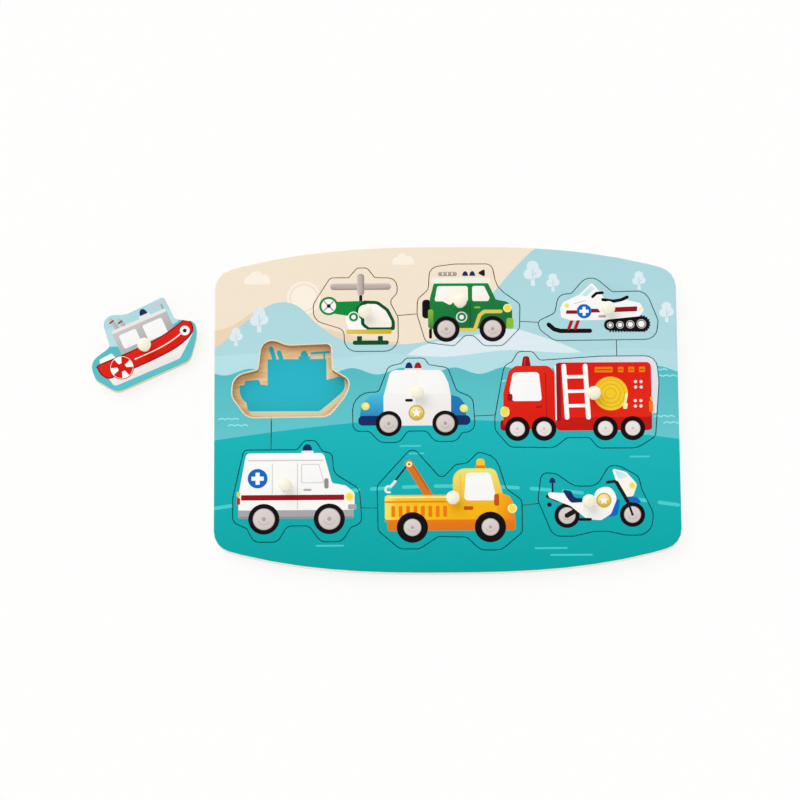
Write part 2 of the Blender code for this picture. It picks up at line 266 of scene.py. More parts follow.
def arc_steps(radius, sweep):
    """Sides that keep a drawn arc within the roundness of its circle."""
    step = 2.0 * math.acos(max(0.5, 1.0 - ROUNDNESS / radius))
    return max(2, math.ceil(sweep / step))


def rounded(corners):
    """Outline of a shape whose corners are x, y and, where it is rounded, a radius."""
    points = []
    for index, corner in enumerate(corners):
        here = Vector(corner[:2])
        back = Vector(corners[index - 1][:2]) - here
        ahead = Vector(corners[(index + 1) % len(corners)][:2]) - here
        half = back.angle(ahead) / 2.0
        reach = (corner[2] if len(corner) > 2 else 0.0) / math.tan(half)
        reach = min(reach, back.length / 2.0, ahead.length / 2.0)
        if reach < ROUNDNESS or half > NEARLY_STRAIGHT:
            points.append(tuple(here))
            continue
        back.normalize()
        ahead.normalize()
        radius = reach * math.tan(half)
        centre = here + (back + ahead).normalized() * (radius / math.sin(half))
        start = (here + back * reach - centre).normalized()
        end = (here + ahead * reach - centre).normalized()
        steps = arc_steps(radius, math.pi - 2.0 * half)
        for step in range(steps + 1):
            points.append(tuple(centre + start.slerp(end, step / steps) * radius))
    return np.array(points)


def round_part(x, y, radius, start=0, sweep=360, squash=1):
    """Points on a circle or on part of one, angles in degrees from the right."""
    steps = arc_steps(radius, math.radians(sweep))
    count = steps if sweep >= 360 else steps + 1
    turns = np.radians(start + sweep * np.arange(count) / steps)
    return np.stack([x + radius * np.cos(turns), y + radius * squash * np.sin(turns)], axis=1)


def smooth_through(points, steps=8):
    """A smooth curve through the points."""
    ends = [points[0]] + list(points) + [points[-1]]
    curve = []
    for before, start, end, after in zip(ends, ends[1:], ends[2:], ends[3:]):
        before, start, end, after = (np.array(p, float) for p in (before, start, end, after))
        for t in np.arange(steps) / steps:
            curve.append(0.5 * (
                2.0 * start + (end - before) * t
                + (2.0 * before - 5.0 * start + 4.0 * end - after) * t ** 2
                + (3.0 * start - before - 3.0 * end + after) * t ** 3))
    curve.append(np.array(points[-1], float))
    return np.array(curve)


class Drawing:
    """Printed shapes in the order in which they are laid down."""

    def __init__(self):
        self.marks = []

    def outline(self, ink, points):
        """A shape given by its points."""
        self.marks.append(Mark(ink, np.asarray(points, float)))

    def shape(self, ink, *corners):
        """A shape with rounded corners."""
        self.outline(ink, rounded(corners))

    def bar(self, ink, left, bottom, right, top, radius=0):
        """An upright rectangle with rounded corners."""
        self.shape(ink, (left, bottom, radius), (right, bottom, radius), (right, top, radius),
                   (left, top, radius))

    def disc(self, ink, x, y, radius):
        """A filled circle."""
        self.outline(ink, round_part(x, y, radius))

    def rings(self, x, y, *rings):
        """Discs on one another, each given by its ink and its radius."""
        for ink, radius in rings:
            self.disc(ink, x, y, radius)

    def dome(self, ink, x, y, radius, height):
        """The upper half of an oval."""
        self.outline(ink, round_part(x, y, radius, 0, 180, height / radius))

    def line(self, ink, width, *points):
        """A stroke with round ends and joints."""
        for start, end in zip(points, points[1:]):
            along = math.degrees(math.atan2(end[1] - start[1], end[0] - start[0]))
            self.outline(ink, np.concatenate([
                round_part(*start, width / 2.0, along + 90.0, 180.0),
                round_part(*end, width / 2.0, along - 90.0, 180.0),
            ]))

    def arc(self, ink, width, x, y, radius, start, sweep):
        """A curved stroke with flat ends."""
        outer = round_part(x, y, radius + width / 2.0, start, sweep)
        inner = round_part(x, y, radius - width / 2.0, start, sweep)
        self.outline(ink, np.concatenate([outer, inner[::-1]]))

    def fill_below(self, ink, foot, line):
        """A shape that fills everything between a line and its foot."""
        line = np.asarray(line, float)
        self.outline(ink, np.concatenate([line, [(line[-1][0], foot), (line[0][0], foot)]]))

    def star(self, ink, x, y, radius):
        """A five-pointed star."""
        turns = np.radians(90.0 + 36.0 * np.arange(10))
        reach = np.where(np.arange(10) % 2, radius * 0.45, radius)
        self.outline(ink, np.stack([x + reach * np.cos(turns), y + reach * np.sin(turns)], 1))

    def wheel(self, x, y, radius, hub, inks=("hub_lit", "hub", "hub_low")):
        """A tyre with a pale pressed-steel hub in three inks: lit, plain and low."""
        lit, plain, low = inks
        self.rings(x, y, ("tyre", radius), (low, hub), ((lit, plain, (0.5, -1)), hub - 0.45))
        self.arc(low, 0.35, x, y, hub * 0.52, 200, 140)
        self.disc(low, x, y, hub * 0.2)

    def roundel(self, x, y, radius):
        """A plain round badge with a star on it."""
        self.rings(x, y, ("gold", radius), (("straw", "gold", (0.3, -1)), radius * 0.82))
        self.star("white", x, y, radius * 0.62)

    def ring_badge(self, x, y):
        """A plain round badge with a ring on it."""
        self.rings(x, y, ("linen", 3.7), ("leaf", 2.9), ("white", 1.5))

    def first_aid(self, x, y, radius):
        """A plain blue disc with a white plus sign."""
        self.disc("cobalt", x, y, radius)
        long, short = radius * 0.62, radius * 0.21
        self.bar("white", x - long, y - short, x + long, y + short, 0.3)
        self.bar("white", x - short, y - long, x + short, y + long, 0.3)

    def headlight(self, x, y, rim, lens):
        """A yellow lens in a pale rim."""
        self.rings(x, y, ("straw", rim), ("lemon", lens))

    def tree(self, x, y, size):
        """A round-topped tree."""
        self.shape("snow", (x - 0.12 * size, y), (x + 0.12 * size, y),
                   (x + 0.05 * size, y + size), (x - 0.05 * size, y + size))
        for dx, dy, radius in ((-0.2, 0.6, 0.26), (0.2, 0.66, 0.26), (0.0, 1.0, 0.3)):
            self.disc("snow", x + dx * size, y + dy * size, radius * size)
        self.line("haze", 0.05 * size, (x, y + 0.3 * size), (x, y + 0.85 * size))
        self.line("haze", 0.05 * size, (x, y + 0.5 * size), (x + 0.16 * size, y + 0.68 * size))

    def cloud(self, x, y, size):
        """A low cloud with a flat foot."""
        for dx, dy, radius in ((-0.55, 0.22, 0.3), (-0.1, 0.4, 0.42), (0.42, 0.26, 0.34)):
            self.disc("cloud", x + dx * size, y + dy * size, radius * size)
        self.bar("cloud", x - 0.9 * size, y - 0.08 * size, x + 0.84 * size, y + 0.26 * size,
                 0.16 * size)

    def ripples(self, x, y):
        """Two rows of short swells, one below the other."""
        for dx, dy in ((0.0, 0.0), (6.0, -4.2)):
            for step in range(3):
                self.arc("foam", 0.9, x + dx + 4.4 * step, y + dy, 2.9, 42, 96)


# Fades that several drawings share
PANE = ("white", "glass", (1, -1))
WARM_PANE = ("white", "cloud", (1, -1))
PANEL = ("white", "glass", (0.2, -1))

# The pale ground that the print leaves beside the fire engine
MARGIN = ("haze", "frost", (1, 0))


def draw_helicopter(d):
    """A green and white helicopter on skids, its rotor seen edge on."""
    d.bar(("hub", "taupe", (0, -1)), -22.5, 16.1, 17, 20.5, 2.1)
    d.bar("stone", -18.5, 17.3, 13, 19.1, 0.9)
    d.bar(("hub", "taupe", (1, 0)), -5, 12.4, -0.4, 27, 2)
    d.bar("stone", -3.5, 14.2, -1.9, 25.4, 0.7)
    d.bar("coal", -3.7, 8, -1.7, 12.6, 0.6)
    d.shape("leaf", (-22, 8.2, 1), (0, 8.8, 2), (6, 8.6, 3), (6, -1, 0), (-12, -1, 3),
            (-22, 0.6, 1))
    d.shape("white", (-14.2, -1.2, 3), (-2.5, 0.2, 1), (4, 4, 2), (15, 1, 4), (19, -5, 3),
            (19, -11, 2), (-9.5, -11, 5))
    d.shape("pine", (-0.5, 9.1, 2), (8.5, 8.6, 5), (15.5, 3.2, 6), (19.4, -5, 4),
            (19.4, -11, 1.5), (1.4, -11, 2), (-2.6, -7, 2), (-2.6, -3, 2), (-6.4, -0.6, 2.5),
            (-5.4, 4.4, 3))
    d.shape(WARM_PANE, (1.2, 6.8, 2), (7.6, 6.6, 4), (13.6, 2, 5),
            (17.2, -5, 3), (17.2, -9, 1), (2.6, -9, 1.5), (-0.4, -6.4, 1.5),
            (-0.4, -2.4, 1.5), (-3.6, 0.8, 2), (-2.8, 3.8, 2))
    d.shape("white", (-13.5, -1.6, 1.5), (-9, -8, 1), (1, -9.6, 1), (1, -11, 0),
            (-10.5, -11, 3))
    d.bar(("brass", "gold", (1, 0)), -12.2, -13.4, 17.2, -10.4, 0.9)
    d.ring_badge(-7.4, -2)
    d.rings(-23.5, 5.5, ("leaf", 6.2), ("white", 4.7))
    for dx, dy in ((2.9, 2.9), (2.9, -2.9)):
        d.line("taupe", 0.8, (-23.5 - dx, 5.5 - dy), (-23.5 + dx, 5.5 + dy))
    d.disc("coal", -23.5, 5.5, 1.3)
    for x in (-3.6, 9.9):
        d.bar("pine", x - 1.6, -18.6, x + 1.6, -14.8, 0.4)
    d.line("pine", 2.9, (-6.6, -19.2), (14, -19.2))


def draw_off_roader(d):
    """A green off-road car with its luggage on the roof."""
    d.line("tyre", 1.9, (-19.3, -22.6), (-19.3, -17.6))
    d.bar("ivory", -18.4, 12.4, 19.8, 17.2, 1.4)
    d.bar("linen", -18.4, 12.4, 19.8, 13.6, 0.4)
    d.bar(("stone", "taupe", (0, -1)), -14, 18.4, -1.8, 21.2, 1)
    for x in (-11, -8, -5):
        d.bar("ivory", x - 0.4, 18.9, x + 0.4, 20.7, 0.2)
    for x in (3.6, 8.2):
        d.dome("navy", x, 18.4, 1.9, 3.2)
    d.shape("coal", (11.4, 20.3, 0.8), (16.4, 23.2, 0.8), (16.4, 17.6, 0.8))
    d.bar("tyre", -24.6, -10, -19, 2.6, 2.4)
    d.shape(("leaf", "fir", (0.2, -1)), (-17, 13.4, 1), (18.4, 13.4, 1.5), (23.4, 2.4, 1.5),
            (31, 0.8, 2.4), (33.8, -4, 2), (33.8, -11, 1), (30, -17, 0), (-19.4, -17, 1),
            (-19.6, 3, 3))
    d.shape(WARM_PANE, (-14.6, 11.6, 1.4), (5.2, 11.6, 1.4), (5.2, 1.4, 1),
            (-3.4, 1.4, 1.2), (-6.6, -1.2, 1.5), (-11.2, 1.4, 1.2), (-16.6, 1.4, 1.2))
    d.shape(WARM_PANE, (8, 11.6, 1.4), (15.8, 11.6, 1.4), (19.4, 3.6, 1),
            (18.4, 1.4, 1), (8, 1.4, 1.2))
    d.line("pine", 0.45, (6.6, 1), (6.6, -15))
    d.bar("lime", 9.2, -3.4, 13.2, -2.2, 0.5)
    d.ring_badge(1, -9.2)
    d.bar(("lime", "leaf", (0, -1)), -20.8, -16.4, -17.4, -4, 1.2)
    d.bar("lime", 30, -17.2, 34.6, -10, 1.4)
    d.line("brass", 2.4, (-0.6, -17.8), (9.4, -17.8), (12.6, -8.2), (15.6, -5.6), (26.4, -5.6))
    d.headlight(30.8, -3.4, 2.8, 2.2)
    for x in (-9, 21):
        d.wheel(x, -17.2, 8.6, 5.9)


def draw_snowmobile(d):
    """A white snowmobile with its track and its skis."""
    d.line("tyre", 2.9, (-38.6, -9.3), (-35.2, -12.4), (-31, -13.6), (-12, -13.6))
    for x in (-23.6, -19.4):
        d.line("brick", 2.1, (x, -6.8), (x - 2, -12))
    d.shape(PANEL, (-31, 1.5, 2), (-29, 5.6, 2), (-18.5, 10.6, 2),
            (-10.2, 18.6, 1.2), (-4.6, 12.2, 1.5), (-1.6, 6.8, 2), (4.5, 4.6, 2),
            (12, 7, 2), (21, 4.8, 2), (23.4, 0, 2), (20, -4.4, 1.5), (-4, -6.4, 2),
            (-24, -6.6, 2), (-30.6, -4.5, 2))
    d.shape(("snow", "mist", (0.4, -1)), (-17.4, 10.2, 0.5), (-10.6, 17, 0.6),
            (-8.4, 14.6, 0.4), (-14, 9.6, 0.5))
    d.line("tyre", 1.9, (-9.8, 9.2), (-7.2, 11.6), (-3.4, 11.8))
    d.line("tyre", 2.1, (-3.2, 7.2), (3.6, 6.2), (8.8, 7), (12.6, 8.8))
    d.shape("crimson", (-27.4, -2.2, 0.4), (-27, 0.2, 0.4), (-19.6, 0.2), (-19.6, -2.2))
    d.shape("crimson", (-11.4, -1.4), (-11.4, 1.1), (-6.4, 1.1, 0.4), (-4.8, -1.4, 0.4))
    d.shape("crimson", (3.2, -1.2, 0.5), (3.8, 2, 0.5), (19.2, 2.6, 0.5), (18.8, -0.8, 0.5))
    d.bar("pewter", -6.2, -4.8, -1.4, -3.2, 0.5)
    d.first_aid(-15.5, -0.5, 4.8)
    d.headlight(-26.6, 3.4, 1.8, 1.1)
    d.disc("straw", 21.4, 1, 1.2)
    d.line("silver", 0.5, (-22, 4.6), (-14.4, 6.6))
    track = [(1, -9.8, 3.8), (21.6, -9.2, 5.2)]
    d.outline("tyre", np.concatenate([
        round_part(*track[0], 95, 172), round_part(*track[1], -88, 183),
    ]))
    for step in range(12):
        d.disc("tyre", 1.2 + 1.85 * step, -14.1, 0.62)
    for step in range(9):
        turn = math.radians(-70 + 20 * step)
        d.disc("tyre", 21.6 + 5.2 * math.cos(turn), -9.2 + 5.2 * math.sin(turn), 0.7)
    for x, y, size in ((1.3, -9.9, 2.2), (7.6, -9.8, 2.5), (14.3, -9.5, 2.7), (21.5, -9.2, 3.1)):
        d.rings(x, y, ("silver", size), ("tyre", size - 0.5), ("white", size - 1))


def draw_boat(d):
    """A red and white rescue boat with a cabin and a lifebuoy."""
    for top, foot in (((-13.4, 25.4), (-11.6, 19.2)), ((-8.4, 23), (-7, 19))):
        d.line(("silver", "pewter", (1, 0)), 2.9, top, foot)
        d.line("crimson", 1, (top[0] - 1, top[1] - 1.6), (top[0] + 1.6, top[1] - 1))
    d.bar("linen", 4.2, 18.4, 11.8, 20.2, 0.5)
    d.dome("navy", 8, 20.1, 2.6, 4)
    d.line("pewter", 1.2, (21, 17.6), (21, 22.4))
    d.line("silver", 1.6, (12.8, 22.2), (24.2, 23))
    d.bar(("silver", "pewter", (0.2, -1)), -15.8, 0, 22.4, 18.4, 1.6)
    d.bar("linen", -15.8, 16.2, 22.4, 18.4, 0.9)
    d.bar(PANE, -12.6, 4, -0.6, 13.8, 1.2)
    d.bar(PANE, 4, 2.4, 17.6, 13.8, 1.2)
    d.shape("white", (-31.2, 0.6), (-30.2, 4.2, 1), (-21.4, 4.8, 1), (-19.8, 0.8))
    d.shape(("white", "linen", (0, -1)), (-30, -8, 1), (-28.4, -16.2, 2.6), (17.8, -16.4, 4),
            (24.6, -10.8, 5), (34, -2.6, 1), (28, -5, 2), (14, -9.6, 2))
    hull = smooth_through(
        [(-32.8, -0.6), (-31.6, 0.4), (-15, 0.2), (4, 0.6), (16, 2), (26, 4.4),
         (31, 5.6), (33, 4.2), (32.8, -1.6), (28, -5.2), (18, -8.2), (4, -9.4),
         (-14, -9.7), (-27.4, -9.6), (-30.8, -8), (-32.8, -4), (-32.8, -0.6)], 4)
    d.line("crimson", 1.9, *hull)
    d.outline(("scarlet", "red", (0.2, -1)), hull)
    d.line("white", 0.7, *smooth_through([(-9, -4.9), (5, -4.8), (16, -3.6), (25, -1.4)],
                                         4))
    d.rings(-19, -6.5, ("crimson", 8), ("white", 7.5))
    for start in (20, 110, 200, 290):
        d.arc("red", 4.6, -19, -6.5, 4.9, start, 50)
    d.rings(-19, -6.5, ("crimson", 2.7), ("red", 2.2))
    d.rings(28, -0.6, ("white", 3.2), ("coal", 1.3))


def draw_police_car(d):
    """A blue and white police car."""
    for x, ink in ((-5.2, "navy"), (0.6, "brick")):
        d.bar("linen", x - 2.8, 16, x + 2.8, 18, 0.6)
        d.dome(ink, x, 17.6, 2.4, 4)
    d.shape(("ocean", "azure", (0, 1)), (-20, 1.4), (-29.5, 0.6, 6), (-36, -6, 6),
            (-37.4, -16.5, 1), (-20, -16.5))
    d.shape(("slate", "ocean", (0, 1)), (21, 0), (27.4, -1.8, 5), (31.2, -7, 5),
            (31.4, -16.5, 1), (20, -16.5))
    d.bar("navy", -38.2, -20.2, -22, -13.8, 3)
    d.bar("navy", 22, -20.2, 34.2, -13.8, 3)
    d.shape(("white", "linen", (0.3, -1)), (-17.2, 16.4, 4.5), (16.2, 16.4, 5), (20.2, 7.6, 8),
            (21.8, -1, 3), (21.8, -20.4, 0.6), (-21.8, -20.4, 0.6), (-21.8, -1, 3),
            (-19.4, 7.6, 8))
    d.shape(PANE, (-14.6, 13.6, 2.5), (-1.6, 13.6, 1), (-1.6, 0.6, 1),
            (-18.2, 0.6, 1.5), (-17.4, 6.6, 5))
    d.shape(PANE, (1.4, 13.6, 1), (14.2, 13.6, 3), (17.6, 6.6, 5),
            (18.6, 0.6, 1.5), (1.4, 0.6, 1))
    d.line("silver", 0.4, (-0.1, 0.2), (-0.1, -5))
    d.bar("coal", -7.8, -4.6, -2.8, -2.7, 0.9)
    d.roundel(-0.5, -12, 5.2)
    for x, y in ((-33.4, -7.4), (30, -9.2)):
        d.disc("canary", x, y, 2.6)
        d.disc("straw", x + 0.4, y + 0.5, 1.2)
    for x in (-18.5, 18):
        d.wheel(x, -19, 8.4, 6)


def draw_fire_engine(d):
    """A red fire engine with a ladder and a reel of hose."""
    d.shape(MARGIN, (-28, 18), (36, 18), (36, -12), (50, -12), (50, 40),
            (-28, 40))
    d.shape("crimson", (-46.4, 19), (-45.2, 26.2, 1.6), (-41.4, 26.2, 1.6), (-40.2, 19))
    d.line("scarlet", 0.9, (-44.4, 20.6), (-43.9, 24.6))
    d.bar("crimson", -60.6, -23.2, -54, -16, 2)
    d.bar("crimson", 31, -23.2, 37.4, -16.8, 2)
    d.shape(("scarlet", "red", (0.4, -1)), (-58.6, -20, 2), (-58.4, 2, 6), (-54.6, 16.6, 4),
            (-50.2, 19.8, 3), (-29, 19.8, 5), (-25, 15.6, 2), (-24.6, -21), (-40, -22.5))
    d.bar(("red", "brick", (0.6, -1)), -24.6, -23.4, 37.4, 21.8, 3)
    d.bar(("red", "scarlet", (0.6, -1)), -24.6, -14.6, 37.4, 21.8, 3)
    d.bar("crimson", -24.2, -16.6, -21.2, 21.2, 1)
    d.line("white", 0.9, (-24.5, -16), (-24.5, 19.6))
    d.shape(PANE, (-52, 15.4, 2.5), (-35.2, 15.6, 2.5),
            (-33.4, -3.6, 2), (-52.4, -3.6, 2), (-54.4, 3.4, 5))
    d.bar("crimson", -55.8, -3.4, -52.4, 1.2, 1.2)
    d.line("crimson", 0.5, (-31, 15), (-30.6, -16))
    d.bar("brick", -37.4, -8.2, -33.4, -6.8, 0.5)
    for x in (-19, -5.2):
        d.line("white", 3, (x, 19.4), (x + 1.6, -14.6))
    for y in (12.2, 2.6, -7):
        d.line("white", 2.2, (-17.6, y), (-4.4, y + 0.2))
    d.rings(11, 1, ("amber", 11.2), ("gold", 9.2), ("amber", 8.7), ("gold", 6.6),
            ("amber", 6.1), ("gold", 3.8), ("amber", 3.3))
    d.line("straw", 1.6, (21.2, 0.4), (20.2, -5.6))
    d.shape("straw", (18.2, -5.6, 0.3), (22, -5.6, 0.3), (21.4, -9.2, 0.4), (19.2, -9.2, 0.4))
    for left, right in ((1, 12.6), (16, 19.6), (22.6, 26.6), (29.6, 33.6)):
        d.bar("orange", left, 15, right, 18.8, 0.7)
        d.bar("brick", left + 0.6, 16.6, right - 0.6, 17.1, 0.2)
    for x, y in ((29, 7), (28.6, -5.6)):
        for dx, dy in ((1.8, 1.8), (-1.8, 1.8), (1.8, -1.8), (-1.8, -1.8)):
            d.disc("linen", x + dx, y + dy, 1.05)
    d.bar("orange", 35.6, -11.2, 38.2, -3.8, 0.9)
    d.bar("amber", 36.4, -3.4, 38.2, -1.2, 0.5)
    d.shape("straw", (-60.3, -7.2, 2.7), (-54.6, -7.2, 2.7), (-54.6, -14, 2.7),
            (-60.3, -14, 2.7))
    d.shape("lemon", (-59.8, -7.7, 2.3), (-55.1, -7.7, 2.3), (-55.1, -13.5, 2.3),
            (-59.8, -13.5, 2.3))
    for x in (-49.6, -32.4, 7.2, 24.8):
        d.wheel(x, -22, 8, 4.9, ("linen", "shell", "hub"))


def draw_ambulance(d):
    """A white ambulance."""
    d.bar("pewter", -30.4, -20.6, 43.6, -13, 1.2)
    d.bar("taupe", -30, -20.6, 43.2, -19.4, 0.6)
    d.bar("linen", 10.2, 21.6, 18, 23.8, 0.7)
    d.dome("navy", 14, 23.8, 3.1, 4.4)
    d.shape(PANEL, (-25.4, 22.2, 3.2), (24.4, 22.2, 3.2),
            (29.8, 2.4, 2), (38.6, 0.8, 4), (44.2, -4, 3), (44.2, -15.2, 0.5),
            (-30.4, -15.2, 0.5), (-30, -4, 6))
    d.line("silver", 0.8, (-24, 17.4), (23.8, 17.4))
    d.line("silver", 0.5, (7.6, 15.4), (7.6, -14.6))
    d.line("silver", 0.5, (-8.6, 15.4), (-8.6, -4.4))
    d.shape("silver", (10, 15, 1), (21.6, 15, 1), (25, 2.4, 1), (10, 2.4, 1))
    d.shape(PANE, (10.5, 14.5, 0.8), (21.2, 14.5, 0.8),
            (24.4, 2.9, 0.8), (10.5, 2.9, 0.8))
    d.bar("crimson", -28.6, -8.7, 37.6, -5.2, 0.4)
    d.first_aid(-18, 5.6, 6.4)
    d.bar("pewter", 11.4, -2.6, 16.6, -1.3, 0.5)
    d.bar("taupe", 24.8, -1.2, 27.6, 5.6, 1.2)
    d.headlight(41, -6.6, 3.1, 2.2)
    d.bar("amber", -31.4, -6.2, -29.2, -3, 0.6)
    d.bar("red", -31.4, -11.4, -29.2, -7, 0.6)
    d.bar("pewter", 40, -15, 45.4, -11.6, 0.9)
    for x in (-14, 28):
        d.wheel(x, -21, 10, 7.1)


def draw_tow_truck(d):
    """A yellow tow truck with its crane."""
    d.line("coal", 1.1, (-30, 21.6), (-37, 12.4))
    d.line("linen", 1.8, (-36.8, 12.2), (-39.6, 9))
    d.arc("linen", 1.5, -41.2, 7, 2, 60, 250)
    d.line("copper", 5.2, (-28, 23.6), (-15.4, 3))
    d.line("rust", 0.7, (-25.2, 22.4), (-15.6, 6.6))
    d.rings(-27.8, 23.4, ("straw", 1.9), ("rust", 0.8))
    d.bar("amber", 15.4, 20, 20.8, 26.8, 2.2)
    d.bar("orange", 14.8, 19.6, 21.4, 22.4, 0.8)
    d.bar(("orange", "copper", (0, -1)), -42, -20.2, 40.2, -12.4, 1.6)
    d.bar(("amber", "honey", (1, -0.4)), -43.6, -13.4, 1, 3.2, 2)
    d.bar(("canary", "amber", (1, 0)), -43.6, -13.4, -36, 3.2, 2)
    d.bar("straw", -41.8, 1.2, -1.2, 2.2, 0.4)
    d.bar("orange", -43.6, -1.8, 1, -0.8, 0.3)
    for step in range(8):
        x = -38.2 + 4.75 * step
        d.bar("orange", x - 1.2, -11.2, x + 1.2, -4, 0.6)
    d.shape("honey", (0.2, 20.4, 8), (27.6, 20.4, 5), (32, 4.6, 2), (30, -13.6, 0.5),
            (0.2, -13.6, 0.5))
    d.shape(("butter", "honey", (0, -1)), (0.2, 20.4, 8), (27.6, 20.4, 5), (32, 4.6, 2),
            (31.05, -4), (0.2, -4))
    d.shape(("honey", "orange", (1, -0.6)), (28.6, 4.8, 1.5), (36.2, 2.4, 3), (39.4, -3, 2.5),
            (39.8, -14.2, 1), (28, -14.2))
    d.bar("orange", -43.6, -14.4, 39.8, -13, 0.3)
    d.shape(PANE, (8.8, 17.6, 2.5), (24.2, 17.6, 2.5), (28.4, -0.6, 2.5),
            (7.2, -0.6, 2.5))
    d.line("honey", 0.5, (5, 15.8), (5, -12.6))
    d.bar("rust", 7, -6.8, 13.2, -4.4, 0.9)
    d.bar("rust", 26.6, -4.2, 29.8, 3.6, 1.2)
    d.headlight(38.2, -6, 3, 2.2)
    for x in (-26, 24):
        d.wheel(x, -18, 10, 5.7)


def draw_motorcycle(d):
    """A white and blue motorcycle."""
    d.line("coal", 1.1, (-23, 7), (-23, 13.6))
    d.dome("navy", -23, 13.4, 2, 3.6)
    d.wheel(-14, -8, 8.1, 5.5)
    d.wheel(28, -7.6, 8.1, 5.5)
    d.line("coal", 3.2, (-14, -8), (-7.4, -4.2))
    d.line("coal", 2.2, (-26.2, 4.6), (-19.4, 1.8))
    d.disc("coal", -25.2, -0.8, 1.5)
    d.shape("cobalt", (24.6, 5, 1.5), (31.6, 3.4, 2.5), (34.8, -0.8, 1.5), (29, 0.2, 2),
            (25, 0.6, 1))
    d.shape("cobalt", (14.6, 1.4, 1), (20.4, 2.6, 1), (18.4, -8.2, 2), (9, -9.6, 1))
    d.shape(PANEL, (-26.6, 7.4, 1.2), (-14.6, 6.6, 3), (-9, 0.4, 3),
            (2.4, 0.6, 3), (5.2, 9.4, 6), (14.6, 11.4, 6), (18.4, 3, 6), (14.2, -7.2, 5),
            (7.8, -11.2, 3), (-1, -10.6, 3), (-11.6, -1.8, 4), (-25.2, 3.8, 1))
    d.shape("navy", (-16.8, 9, 0.8), (-11, 8, 2), (-9, 3.2, 3), (-3.6, 3.4, 1.5),
            (-4.2, 0.6, 1.2), (-11.4, 0.2, 3), (-14.6, 4.8, 3))
    d.line("tyre", 1.9, (-5.8, -10.6), (1, -10.6))
    d.line("coal", 1.9, (12.2, 13.6), (17.8, 14.2))
    d.shape(("white", "cloud", (0.6, -1)), (15.4, 22.6, 1), (24.4, 20.4, 4), (31.4, 12.2, 2.5),
            (28.6, 4.2, 2), (24.4, 4, 2), (18.6, 11.8, 3))
    d.shape(("mist", "snow", (1, -1)), (16.8, 21.6, 0.6), (23.4, 19.6, 2.5), (26, 16.8, 1),
            (19.6, 15.4, 1.5))
    d.line("coal", 2.4, (18.2, 13.4), (21.2, 8), (25.2, 0.6))
    d.line("coal", 1.4, (25.2, 0.6), (28, -7.6))
    d.headlight(28.2, 11.4, 2.4, 1.7)
    d.roundel(9.8, 1.8, 4.9)


DRAWINGS = {
    "helicopter": draw_helicopter, "off_roader": draw_off_roader,
    "snowmobile": draw_snowmobile, "boat": draw_boat, "police_car": draw_police_car,
    "fire_engine": draw_fire_engine, "ambulance": draw_ambulance, "tow_truck": draw_tow_truck,
    "motorcycle": draw_motorcycle,
}


def draw_landscape(d):
    """Sand, a sun and clouds over hills, a shore, and a bay with a row of dashes."""
    d.shape("sand", (-160, -125), (160, -125), (160, 125), (-160, 125))
    d.rings(-92, 74, ("cloud", 11), ("sand", 9.6), ("cloud", 8.2))
    d.cloud(-122, 84, 10)
    d.cloud(-27, 96.5, 8.5)
    d.fill_below("dune", 20, smooth_through([
        (-160, 50), (-140, 55), (-122, 66), (-106, 68), (-90, 58), (-70, 51), (-50, 46),
        (-30, 44)]))
    d.fill_below(("haze", "hill", (0, 1)), 20, smooth_through([
        (-160, 36), (-146, 43), (-130, 58), (-112, 70), (-97, 69), (-83, 56), (-68, 46),
        (-52, 43), (-20, 43), (4, 50), (20, 62), (34, 80), (48, 96), (60, 107), (80, 118),
        (160, 118)]))
    d.fill_below(("hill", "haze", (0, -1)), 20, smooth_through([
        (20, 24), (44, 40), (66, 62), (86, 78), (106, 83), (126, 74), (144, 56), (160, 44)]))
    d.fill_below("snow", 20, smooth_through([
        (-30, 32), (-16, 41), (4, 46), (24, 49), (44, 52), (62, 47), (80, 40), (96, 32)]))
    d.fill_below(("mist", "haze", (0.3, -1)), 10, smooth_through([
        (-160, 34), (-120, 37), (-80, 33), (-40, 36), (0, 34), (40, 38), (80, 36), (120, 39),
        (160, 35)]))
    for x, y, size in ((-136, 42, 9.5), (-121, 51, 13), (57, 81, 13), (70, 77, 9.5),
                       (126, 78, 9.5), (143.5, 56, 10.5)):
        d.tree(x, y, size)
    d.fill_below(("shoal", "lagoon", (0, 1)), -30, [
        (x, 24.6 + 2.2 * math.sin(math.tau * x / 33 + 0.6)) for x in range(-160, 161, 2)])
    for x, y in ((-145, -9), (-51, -3), (38, 15), (132, 22), (136, -9)):
        d.ripples(x, y)
    d.fill_below(("bay", "deep", (0, -1)), -125, smooth_through([
        (-160, -22), (-110, -15), (-60, -9.5), (-20, -7.5), (24, -8.5), (60, -10.5),
        (100, -15), (135, -19.5), (160, -23)]))
    for step in range(15):
        left = 20.5 * step - 151
        ends = [(x, 16 * math.cos(x / 105) - 67.5) for x in (left, left + 12)]
        d.line("dash", 2.3, *ends)
    for x, y, length in ((56, -92.5, 20), (66, -97, 26), (-84, -90, 17), (-30, -25, 13),
                         (-24, -30, 9), (118, -33, 12)):
        d.line("dash", 1.1, (x, y), (x + length, y))


# Sheets

# Heights that differ by less than this are the same, and verts closer than a tenth of it are
# one
HAIR = 0.01 * MM

# An ink that covers nothing
BARE = (0.0, 0.0, 0.0, 0.0)

# How far the silhouettes' pale copies stand out of place, to the lower right, in millimetres.
# They are painted light: a pale strip on the recess floor that stands for the floor lit beside
# the walls on the lower right.
PAINTED_LIGHT_SHIFT = (1.4, -2.9)

# Normals that stand up at least this far belong to a flat face, and those that stand up less
# than the second belong to a wall
FLAT = 0.99
SLANT = 0.2

# How far from a sawn wall its eased rim may reach, and how far below the top
RIM_REACH = 1.0 * MM
RIM_DEPTH = 0.6 * MM

# Drawn points closer than this are one, in millimetres
CDT_EPSILON = 0.0005

# Points that are tested against an outline at a time
TEST_BATCH = 1000

# The places of a sheet's materials
PRINTED, SAWN, UNDERSIDE, SANDED = range(4)


